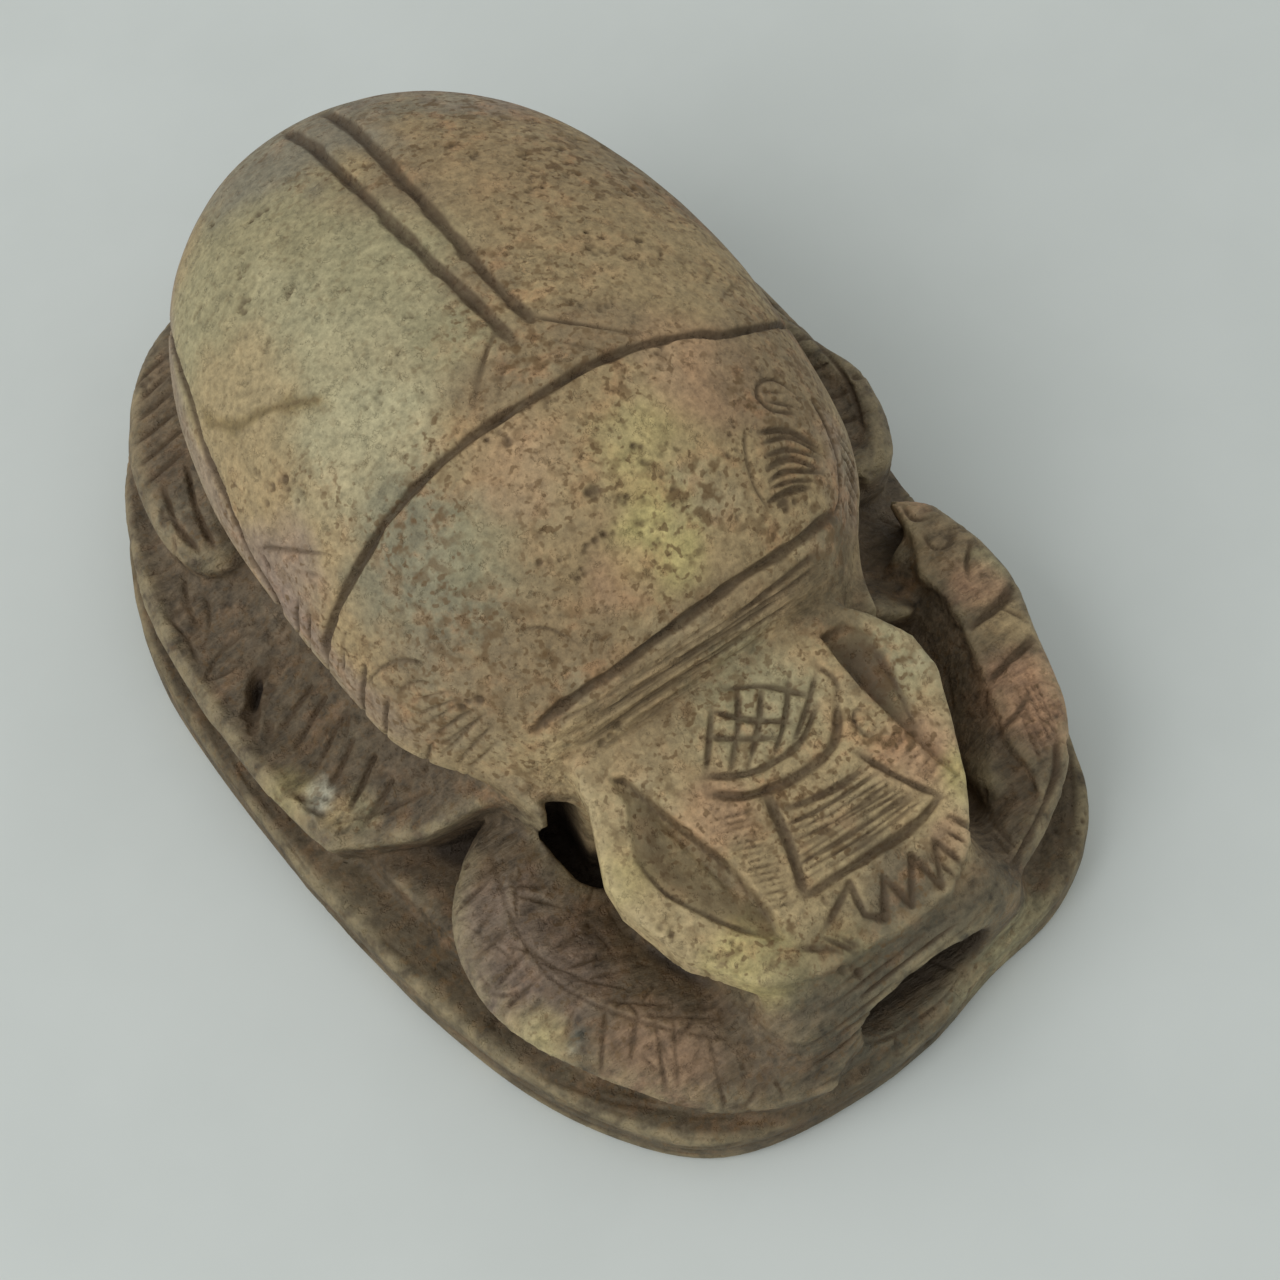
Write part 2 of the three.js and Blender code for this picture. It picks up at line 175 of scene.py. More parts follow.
def cell_corners(part: np.ndarray) -> Iterator[tuple[tuple[int, ...], np.ndarray]]:
    """The corners of grid cells, and what share of its value each gives to the points in the cells.

    Args:
        part: How far each point lies across its cell, from 0 to 1 in each direction.

    Returns:
        For each corner in turn, its step from the cell's first corner, and its share at each point.
    """
    for step in product((0, 1), repeat=part.shape[-1]):
        share = 1.0
        for axis, far in enumerate(step):
            share = share * (part[..., axis] if far else 1 - part[..., axis])
        yield step, share


@dataclass
class Roughness:
    """Soft, repeatable lumps in space, from random numbers on a lattice."""

    seed: int
    size: int = 32
    lattice: np.ndarray = field(init=False)

    def __post_init__(self) -> None:
        """Draw the lattice."""
        draw = np.random.default_rng(self.seed)
        self.lattice = draw.uniform(-1.0, 1.0, (self.size,) * 3).astype(np.float32)

    def at(self, points: np.ndarray, lump: float) -> np.ndarray:
        """Lumps of about the given size at some points.

        Args:
            points: Places, three numbers each.
            lump: The size of a lump.

        Returns:
            One number from -1 to 1 for each place.
        """
        cell = points / lump
        corner = np.floor(cell)
        part = cell - corner
        part = part * part * (3 - 2 * part)
        corner = corner.astype(np.int64)
        total = np.zeros(points.shape[:-1], np.float32)
        for step, share in cell_corners(part):
            spot = (corner + step) % self.size
            total += share * self.lattice[spot[..., 0], spot[..., 1], spot[..., 2]]
        return total


# ---------------------------------------------------------------------------------------------------------
# The block of stone
# ---------------------------------------------------------------------------------------------------------


@dataclass
class Block:
    """The block as a grid, on which each form is a field of distances, below zero inside the form."""

    step: float = CELL
    low: Point = (-21.9, -31.5, -0.9)
    high: Point = (21.9, 31.5, 26.4)
    x: np.ndarray = field(init=False)
    y: np.ndarray = field(init=False)
    z: np.ndarray = field(init=False)
    plan: np.ndarray = field(init=False)

    def __post_init__(self) -> None:
        """Lay out the grid."""
        axes = [np.arange(lo, hi + self.step / 2, self.step, dtype=np.float32)
                for lo, hi in zip(self.low, self.high)]
        self.x = axes[0][:, None, None]
        self.y = axes[1][None, :, None]
        self.z = axes[2][None, None, :]
        self.plan = np.stack(np.meshgrid(axes[0], axes[1], indexing="ij"), axis=-1)

    def inside_outline(self, outline: np.ndarray) -> np.ndarray:
        """Plan distance to a closed outline, for every upright column of the grid."""
        return outline_distance(self.plan, outline)[:, :, None].astype(np.float32)

    def from_line(self, line: np.ndarray) -> np.ndarray:
        """Plan distance to an open line, for every upright column of the grid."""
        return line_distance(self.plan, line)[:, :, None].astype(np.float32)

    def places(self) -> np.ndarray:
        """Every grid point."""
        shape = (self.x.shape[0], self.y.shape[1], self.z.shape[2])
        return np.stack([np.broadcast_to(a, shape) for a in (self.x, self.y, self.z)], axis=-1)

    def true_distance(self, level: np.ndarray, limit: float = 6.0) -> np.ndarray:
        """Turn any field with the right zero surface into one that grows by about 1 each millimetre.

        Args:
            level: The field.
            limit: The largest distance that is kept.

        Returns:
            The field of distances.
        """
        slopes = np.gradient(level, self.step)
        steepness = np.sqrt(sum(s * s for s in slopes))
        return np.clip(level / np.maximum(steepness, 1e-3), -limit, limit).astype(np.float32)

    def sample(self, grid: np.ndarray, points: np.ndarray) -> np.ndarray:
        """The grid's value at some points, from the eight grid points round each.

        Args:
            grid: Values on the block's grid.
            points: The places, three numbers each.

        Returns:
            One value for each point.
        """
        cell = (points - np.array(self.low)) / self.step
        corner = np.clip(np.floor(cell).astype(np.int64), 0, np.array(grid.shape) - 2)
        part = cell - corner
        i, j, k = corner.T
        total = np.zeros(len(points))
        for (dx, dy, dz), share in cell_corners(part):
            total += share * grid[i + dx, j + dy, k + dz]
        return total

    def blurred(self, grid: np.ndarray, reach: float) -> np.ndarray:
        """A grid averaged over a small box round each point, twice, which is nearly a round blur.

        Args:
            grid: Values on the block's grid.
            reach: Half the width of the box.

        Returns:
            The averaged grid.
        """
        half = max(1, round(reach / self.step))
        out = grid.astype(np.float32)
        for axis in (0, 1, 2, 0, 1, 2):
            pads = [(half + 1, half) if a == axis else (0, 0) for a in range(3)]
            total = np.cumsum(np.pad(out, pads, mode="edge"), axis=axis, dtype=np.float64)
            width = 2 * half + 1
            ahead = np.take(total, range(width, total.shape[axis]), axis=axis)
            behind = np.take(total, range(0, total.shape[axis] - width), axis=axis)
            out = ((ahead - behind) / width).astype(np.float32)
        return out

    def skin(self, body: np.ndarray) -> tuple[np.ndarray, np.ndarray]:
        """Four-sided faces over a field's zero surface, one point in each grid cell that it passes through.

        Args:
            body: The field of distances.

        Returns:
            The points, and the four points of each face.
        """
        inside = body < 0
        corners = list(product((0, 1), repeat=3))
        cells = tuple(n - 1 for n in body.shape)
        count = np.zeros(cells, np.uint8)
        for a, b, c in corners:
            count += inside[a:a + cells[0], b:b + cells[1], c:c + cells[2]]
        mixed = (count > 0) & (count < 8)
        number = np.full(cells, -1, np.int64)
        number[mixed] = np.arange(int(mixed.sum()))
        spots = np.argwhere(mixed)
        total = np.zeros((len(spots), 3))
        hits = np.zeros(len(spots))
        for start in corners:
            for axis in range(3):
                if start[axis]:
                    continue
                end = tuple(v + (n == axis) for n, v in enumerate(start))
                value0 = body[tuple((spots + start).T)]
                value1 = body[tuple((spots + end).T)]
                crossed = (value0 < 0) != (value1 < 0)
                share = value0[crossed] / (value0[crossed] - value1[crossed])
                place = np.tile(np.array(start, float), (len(share), 1))
                place[:, axis] += share
                total[crossed] += place
                hits[crossed] += 1
        points = np.array(self.low) + (spots + total / hits[:, None]) * self.step
        faces = []
        for axis in range(3):
            side, up = (axis + 1) % 3, (axis + 2) % 3
            near = np.take(inside, range(0, body.shape[axis] - 1), axis=axis)
            far = np.take(inside, range(1, body.shape[axis]), axis=axis)
            edges = np.argwhere(near != far)
            edges = edges[(edges[:, side] > 0) & (edges[:, up] > 0)]
            ring = []
            for d_side, d_up in ((-1, -1), (0, -1), (0, 0), (-1, 0)):
                cell = edges.copy()
                cell[:, side] += d_side
                cell[:, up] += d_up
                ring.append(number[tuple(cell.T)])
            quads = np.stack(ring, axis=1)
            outward = near[tuple(edges.T)]
            quads[~outward] = quads[~outward][:, ::-1]
            faces.append(quads)
        return points, np.vstack(faces)


@dataclass
class Surface:
    """The finished form's field, with what is needed to lie on its surface."""

    block: Block
    body: np.ndarray
    slopes: list[np.ndarray] = field(init=False)
    heights: np.ndarray = field(init=False)

    def __post_init__(self) -> None:
        """Work out the field's slopes and the height of the stone in every column."""
        self.slopes = [s.astype(np.float32) for s in np.gradient(self.body, self.block.step)]
        inside = self.body < 0
        top = inside.shape[2] - 1 - np.argmax(inside[:, :, ::-1], axis=2)
        top = np.clip(top, 0, inside.shape[2] - 2)
        below = np.take_along_axis(self.body, top[:, :, None], axis=2)[:, :, 0]
        above = np.take_along_axis(self.body, top[:, :, None] + 1, axis=2)[:, :, 0]
        share = np.clip(below / np.minimum(below - above, -1e-6), 0.0, 1.0)
        height = self.block.low[2] + (top + share) * self.block.step
        self.heights = np.where(inside.any(axis=2), height, 0.0)

    def distance(self, points: np.ndarray) -> np.ndarray:
        """How far each point is above the stone, below zero inside it."""
        return self.block.sample(self.body, points)

    def normals(self, points: np.ndarray) -> tuple[np.ndarray, np.ndarray]:
        """The outward direction at each point, and how fast the field grows there.

        Args:
            points: The places, three numbers each.

        Returns:
            The directions and the growths, one for each point.
        """
        slope = np.stack([self.block.sample(s, points) for s in self.slopes], axis=1)
        size = np.maximum(np.linalg.norm(slope, axis=1), 1e-6)
        return slope / size[:, None], size

    def onto(self, points: np.ndarray, rounds: int = 2, reach: float = 0.5) -> np.ndarray:
        """Move points straight onto the surface.

        Args:
            points: Points near the surface.
            rounds: How many times to aim again.
            reach: The longest move in one round.

        Returns:
            The moved points.
        """
        for _ in range(rounds):
            normal, growth = self.normals(points)
            move = np.clip(self.distance(points) / np.maximum(growth, 0.3), -reach, reach)
            points = points - normal * move[:, None]
        return points

    def drape(self, plan: np.ndarray) -> np.ndarray:
        """Lay plan points on top of the stone.

        Args:
            plan: The plan points.

        Returns:
            The points on the stone.
        """
        cell = (plan - np.array(self.block.low[:2])) / self.block.step
        corner = np.clip(np.floor(cell).astype(int), 0, np.array(self.heights.shape) - 2)
        part = cell - corner
        i, j = corner.T
        height = np.zeros(len(plan))
        for (dx, dy), share in cell_corners(part):
            height += share * self.heights[i + dx, j + dy]
        return self.onto(np.column_stack([plan, height]), rounds=3, reach=0.3)


# ---------------------------------------------------------------------------------------------------------
# The big forms
# ---------------------------------------------------------------------------------------------------------


@dataclass(frozen=True)
class Plinth:
    """The oval base. Its front is blunter than its rear, and it swells and is rubbed in here and there.

    Each swell is a place, how far it reaches, and how far it stands out.
    """

    front: float = 29.9
    rear: float = 30.1
    middle_y: float = -0.1
    half_width: float = 20.45
    front_power: float = 2.92
    rear_power: float = 2.28
    taper: float = 0.05
    skew: float = -0.02
    height: float = 3.0
    rounding: float = 0.55
    swells: tuple[Point, ...] = (
        (20.0, -1.2, 5.0, -1.45), (16.9, -24.2, 3.6, 0.5), (7.0, -29.2, 4.6, -1.25),
        (-11.0, -28.6, 4.4, 0.55), (-18.6, -14.0, 8.0, -0.35), (-20.4, 12.0, 6.0, 0.45),
        (-15.0, 25.6, 4.0, -0.3))
    steps: int = 150

    def outline(self, inset: float = 0.0) -> np.ndarray:
        """The oval's outline, drawn in by inset.

        Args:
            inset: How far the outline is drawn in.

        Returns:
            The outline's points.
        """
        turn = np.arange(self.steps) / self.steps * 2 * math.pi
        ahead = np.sin(turn) > 0
        power = np.where(ahead, self.rear_power, self.front_power)
        reach = np.where(ahead, self.rear, self.front) - inset
        along = np.sign(np.sin(turn)) * np.abs(np.sin(turn)) ** (2 / power) * reach
        across = np.sign(np.cos(turn)) * np.abs(np.cos(turn)) ** (2 / power) * (self.half_width - inset)
        y = self.middle_y + along
        x = across * (1 + self.taper * along / self.rear) + self.skew * along
        ring = np.column_stack([x, y])
        for swell_x, swell_y, reach, rise in self.swells:
            away = ring - (swell_x, swell_y)
            outward = ring / np.linalg.norm(ring, axis=1)[:, None]
            ring = ring + outward * (rise * np.exp(-np.sum(away**2, axis=1) / reach**2))[:, None]
        return ring

    def shape(self, block: Block) -> np.ndarray:
        """The base as a field.

        Args:
            block: The grid that the field is worked out on.

        Returns:
            The field of distances.
        """
        side = block.inside_outline(self.outline()) + self.rounding
        level = np.abs(block.z - self.height / 2) - self.height / 2 + self.rounding
        outside = np.hypot(np.maximum(side, 0), np.maximum(level, 0))
        return np.minimum(np.maximum(side, level), 0) + outside - self.rounding


@dataclass(frozen=True)
class Back:
    """Thorax and wing cases: one dome over a thin rim, cut off steeply in front."""

    middle_x: float = 0.35
    rear_y: float = 29.0
    widest_y: float = 6.4
    front_y: float = -10.8
    half_width: float = 15.4
    front_half_width: float = 12.8
    power: float = 2.23
    crest_power: float = 1.95
    rim_rear_z: float = 13.8
    rim_front_z: float = 11.75
    rim_depth: float = 1.6
    crest_y: float = 2.7
    crest_z: float = 24.9
    front_z: float = 17.3
    lean: float = 0.25
    rear_shift: float = 0.35
    ridge_rounding: float = 0.8
    corner_across: float = 0.755
    corner_ahead: float = 0.656
    corner_reach: float = 14.35
    corner_z: float = 12.0
    corner_lean: float = 0.26
    corner_rounding: float = 1.6
    flank_inset: float = 2.2
    flank_rounding: float = 0.4

    def rim_height(self, y: np.ndarray) -> np.ndarray:
        """Height of the rim at a place along the body."""
        share = np.clip((self.widest_y - y) / (self.widest_y - self.front_y), 0, 1)
        return self.rim_rear_z + (self.rim_front_z - self.rim_rear_z) * share

    def half_width_at(self, y: np.ndarray) -> np.ndarray:
        """Half the body's width at a place along it.

        Args:
            y: Places along the body.

        Returns:
            One half width for each place.
        """
        behind = np.clip((y - self.widest_y) / (self.rear_y - self.widest_y), 0, 1)
        ahead = np.clip((self.widest_y - y) / (self.widest_y - self.front_y), 0, 1.3)
        narrowing = (self.half_width - self.front_half_width) * ahead**2
        return self.half_width * (1 - behind**self.power) ** (1 / self.power) - narrowing

    def dome(self, block: Block) -> np.ndarray:
        """The dome with its rim, before its front is cut.

        Args:
            block: The grid that the field is worked out on.

        Returns:
            The field of distances.
        """
        y = block.y
        ahead = np.clip((self.widest_y - y) / (self.widest_y - self.front_y), 0, 1.6)
        width = self.half_width - (self.half_width - self.front_half_width) * ahead**2
        fall = np.clip((self.crest_y - y) / (self.crest_y - self.front_y), 0, 1.25)
        rim = self.rim_height(y)
        crest = self.crest_z - (self.crest_z - self.front_z) * fall**2
        across = (block.x - self.middle_x - self.rear_shift * ramp(y, 10, 28)) / width
        up = np.where(block.z > rim, (block.z - rim) / np.maximum(crest - rim, 2.0),
                      (rim - block.z) / self.rim_depth)
        low_run = np.clip((y - self.widest_y) / (self.rear_y - self.widest_y), 0, None)
        high_run = np.clip((y - self.crest_y) / (self.rear_y + 0.4 - self.crest_y), 0, None)
        across2, up2 = across**2, up**2
        share = across2 / np.maximum(across2 + up2, 1e-6)
        along = share * low_run + (1 - share) * high_run
        power = self.crest_power + (self.power - self.crest_power) * share
        level = ((across2 + up2) ** (power / 2) + along**power) ** (1 / power) - 1
        return block.true_distance(np.broadcast_to(level, block.places().shape[:3]))

    def shape(self, block: Block) -> np.ndarray:
        """The dome with its steep front face and the two faces that cut off its front corners.

        Args:
            block: The grid that the field is worked out on.

        Returns:
            The field of distances.
        """
        face = (self.front_y - self.lean * (self.front_z - block.z) - block.y) / math.hypot(1, self.lean)
        aside = np.abs(block.x - self.middle_x)
        corners = self.corner_across * aside - self.corner_ahead * block.y - self.corner_reach
        corners = corners + self.corner_lean * (block.z - self.corner_z)
        faces = common(face, corners, self.corner_rounding)
        return common(self.dome(block), faces, self.ridge_rounding)

    def flanks(self, block: Block) -> np.ndarray:
        """The body below the rim, drawn in so that the rim overhangs the legs.

        Args:
            block: The grid that the field is worked out on.

        Returns:
            The field of distances.
        """
        y = np.linspace(self.front_y - 1.2, self.rear_y - self.flank_inset, 40)
        side = np.maximum(self.half_width_at(y + self.flank_inset * ramp(y, 6, 29)) - self.flank_inset, 0.4)
        outline = np.vstack([np.column_stack([self.middle_x + side, y]),
                             np.column_stack([self.middle_x - side, y])[::-1]])
        return common(block.inside_outline(outline), block.z - self.rim_height(block.y), self.flank_rounding)


@dataclass(frozen=True)
class Head:
    """The head: a sloping plate over a narrower body, and the neck behind it."""

    neck_y: float = -11.8
    neck_z: float = 14.3
    front_y: float = -27.0
    front_z: float = 10.4
    plate_depth: float = 2.0
    body_inset: float = 1.3
    outline: tuple[Point, ...] = (
        (-7.6, -11.8), (-8.6, -14.4), (-9.6, -17.0), (-9.7, -18.6), (-8.3, -22.4), (-5.9, -25.2),
        (-3.4, -26.2), (0.8, -26.7), (4.6, -26.5), (6.9, -24.9), (8.6, -22.2), (9.8, -19.3),
        (10.7, -16.9), (10.5, -15.0), (9.3, -13.0), (7.9, -11.8))
    body_drop: float = 0.8
    neck_half_width: float = 8.2
    neck_rear_y: float = -6.0
    neck_front_y: float = -13.0
    neck_top: float = 13.7
    neck_rounding: float = 0.8
    middle_x: float = 0.35

    def top(self, y: np.ndarray) -> np.ndarray:
        """Height of the plate at a place along it."""
        share = (self.neck_y - y) / (self.neck_y - self.front_y)
        return self.neck_z + (self.front_z - self.neck_z) * np.clip(share, -0.2, 1.1)

    def shape(self, block: Block) -> np.ndarray:
        """Plate, body and neck as a field.

        Args:
            block: The grid that the field is worked out on.

        Returns:
            The field of distances.
        """
        plan = block.inside_outline(np.array(self.outline))
        top = self.top(block.y)
        plate = common(common(plan, block.z - top, 0.35), top - self.plate_depth - block.z, 0.5)
        body = common(plan + self.body_inset, block.z - top + self.body_drop, 0.4)
        side = np.abs(block.x - self.middle_x) - self.neck_half_width
        ends = np.maximum(block.y - self.neck_rear_y, self.neck_front_y - block.y)
        walls = common(side, ends, self.neck_rounding)
        neck = common(walls, block.z - self.neck_top, self.neck_rounding)
        return joined(joined(plate, body, 0.7), neck, 1.0)


@dataclass(frozen=True)
class FrontSlope:
    """The hollow-faced slope from the head's front edge down to the base, where the hole opens."""

    levels: Point = (2.4, 4.2, 5.8, 7.8, 9.4)
    fronts: Point = (-29.7, -29.4, -29.0, -28.3, -26.9)
    half_widths: Point = (9.6, 8.8, 8.0, 7.2, 6.3)
    middle_x: float = 0.9
    corner: float = 3.0
    inset: float = 0.5
    rear_y: float = -19.0
    top_z: float = 9.6

    def shape(self, block: Block, base: np.ndarray) -> np.ndarray:
        """The slope as a field, kept within the base's outline.

        Args:
            block: The grid that the field is worked out on.
            base: The base's outline.

        Returns:
            The field of distances.
        """
        front = np.interp(block.z, self.levels, self.fronts) - block.y
        side = np.abs(block.x - self.middle_x) - np.interp(block.z, self.levels, self.half_widths)
        wall = common(common(front, side, self.corner), block.inside_outline(base) + self.inset, 1.2)
        return common(np.maximum(wall, block.y - self.rear_y), block.z - self.top_z, 0.8)


@dataclass(frozen=True)
class Bore:
    """The threading hole, a flattened tunnel from end to end."""

    x: float = 2.0
    z: float = 5.6
    half_width: float = 4.0
    half_height: float = 2.05
    power: float = 2.7
    mouth_flare: float = 0.3

    def shape(self, block: Block) -> np.ndarray:
        """The tunnel as a field, a little wider at its two mouths.

        Args:
            block: The grid that the field is worked out on.

        Returns:
            The field of distances.
        """
        flare = 1 + self.mouth_flare * ramp(np.abs(block.y + 0.1), 26.5, 31.0) * 0.4
        across = np.abs(block.x - self.x) / (self.half_width * flare)
        up = np.abs(block.z - self.z) / (self.half_height * flare)
        level = (across**self.power + up**self.power) ** (1 / self.power) - 1
        return np.clip(level * self.half_height * 1.1, -4, 6).astype(np.float32)


@dataclass(frozen=True)
class Limb:
    """A folded leg: a pad between an outer edge and an inner one, its height given inwards from the edge.

    The leg has no lower end of its own.
    """

    outer: tuple[Point, ...]
    inner: tuple[Point, ...]
    inward: Point
    heights: Point
    undercut: float = 0.9
    rounding: float = 0.5
    front_drop: float = 0.0
    drop_start: float = 20.0
    drop_end: float = 29.5
    lip: float = 0.4
    wall_run: float = 3.0
    slant: float = 0.93

    def outline(self) -> np.ndarray:
        """The leg's closed outline, its outer edge as a curve."""
        return np.vstack([curve_through(list(self.outer)), np.array(self.inner)])

    def top(self, block: Block) -> np.ndarray:
        """The leg's height in every column.

        Args:
            block: The grid that the field is worked out on.

        Returns:
            One height for each column.
        """
        away = block.from_line(curve_through(list(self.outer)))
        drop = self.front_drop * ramp(-block.y, self.drop_start, self.drop_end)
        return np.interp(away, self.inward, self.heights).astype(np.float32) - drop

    def shape(self, block: Block) -> np.ndarray:
        """The leg as a field. Its wall draws in below the edge.

        Args:
            block: The grid that the field is worked out on.

        Returns:
            The field of distances.
        """
        top = self.top(block)
        below = np.clip(top - self.lip - block.z, 0, self.wall_run) / self.wall_run
        wall = block.inside_outline(self.outline()) + self.undercut * below
        return common(wall, (block.z - top) * self.slant, self.rounding)


# ---------------------------------------------------------------------------------------------------------
# Cuts
# ---------------------------------------------------------------------------------------------------------


@dataclass(frozen=True)
class Stroke:
    """One cut with a graver along a line on the stone.

    A line of plan points is laid on top of the stone. Points with a height are taken straight
    to the nearest surface.
    """

    line: tuple[Point, ...]
    width: float = 0.4
    depth: float = 0.16
    curved: bool = True


def hatching(first: tuple[Point, ...], last: tuple[Point, ...], count: int, width: float = 0.34,
             depth: float = 0.13, stray: float = 0.08, seed: int = 1) -> list[Stroke]:
    """A row of like strokes between a first and a last one.

    Args:
        first: The line of the first stroke.
        last: The line of the last stroke, with as many points.
        count: How many strokes there are, both ends included.
        width: How wide a stroke is.
        depth: How deep a stroke is.
        stray: How far a hand-cut stroke's points wander.
        seed: Number that the wandering is drawn from.

    Returns:
        The strokes.
    """
    draw = np.random.default_rng(SEED + seed)
    rows = []
    for number in range(count):
        share = number / max(count - 1, 1)
        line = np.array(first) * (1 - share) + np.array(last) * share
        line = line + draw.normal(0, stray, line.shape)
        scale = draw.uniform(0.75, 1.2)
        rows.append(Stroke(tuple(map(tuple, line)), width * scale, depth * scale))
    return rows


@dataclass
class Graver:
    """Cuts strokes and pits into points that lie on a surface."""

    surface: Surface
    points: np.ndarray
    rough: Roughness

    def near(self, low: np.ndarray, high: np.ndarray) -> np.ndarray:
        """Which points lie in a box.

        Args:
            low: The box's low corner.
            high: The box's high corner.

        Returns:
            The numbers of the points in it.
        """
        keep = (self.points[:, 0] > low[0]) & (self.points[:, 0] < high[0])
        picked = np.flatnonzero(keep)
        spots = self.points[picked]
        keep = np.all((spots[:, 1:] > low[1:]) & (spots[:, 1:] < high[1:]), axis=1)
        return picked[keep]

    def laid(self, stroke: Stroke) -> np.ndarray:
        """A stroke's line on the stone.

        Args:
            stroke: The stroke.

        Returns:
            The line's points, on the surface.
        """
        line = np.array(stroke.line, float)
        if stroke.curved and len(line) > 2:
            line = curve_through(list(map(tuple, line)))
        line = even_steps(line, 0.35)
        if line.shape[1] == 2:
            return self.surface.drape(line)
        return self.surface.onto(line, rounds=4, reach=0.6)

    def strokes(self, strokes: list[Stroke]) -> np.ndarray:
        """How deep the strokes cut at each point.

        Args:
            strokes: The strokes.

        Returns:
            One depth for each point.
        """
        depth = np.zeros(len(self.points))
        for stroke in strokes:
            line = self.laid(stroke)
            half = stroke.width / 2
            picked = self.near(line.min(axis=0) - 1.2 * half, line.max(axis=0) + 1.2 * half)
            if not len(picked):
                continue
            spots = self.points[picked]
            away = line_distance(spots, line) / (half * (0.85 + 0.3 * self.rough.at(spots, 0.9)))
            end = np.minimum(*(np.linalg.norm(spots - tip, axis=1) for tip in (line[0], line[-1])))
            force = (0.4 + 0.6 * ramp(end, 0.0, 0.9)) * (0.95 + 0.3 * self.rough.at(spots + 30, 1.3))
            cut = stroke.depth * force * np.clip(1 - away, 0, 1) ** 0.8
            depth[picked] = np.maximum(depth[picked], cut)
        return depth

    def pits(self, centres: np.ndarray, radii: np.ndarray, depths: np.ndarray) -> np.ndarray:
        """How deep a scatter of round pits goes at each point.

        Args:
            centres: The pits' centres.
            radii: Their radii.
            depths: Their depths.

        Returns:
            One depth for each point.
        """
        depth = np.zeros(len(self.points))
        for centre, radius, deep in zip(centres, radii, depths):
            picked = self.near(centre - radius, centre + radius)
            away = np.linalg.norm(self.points[picked] - centre, axis=1) / radius
            cut = deep * np.clip(1 - away**2, 0, 1) ** 1.2
            depth[picked] = np.maximum(depth[picked], cut)
        return depth


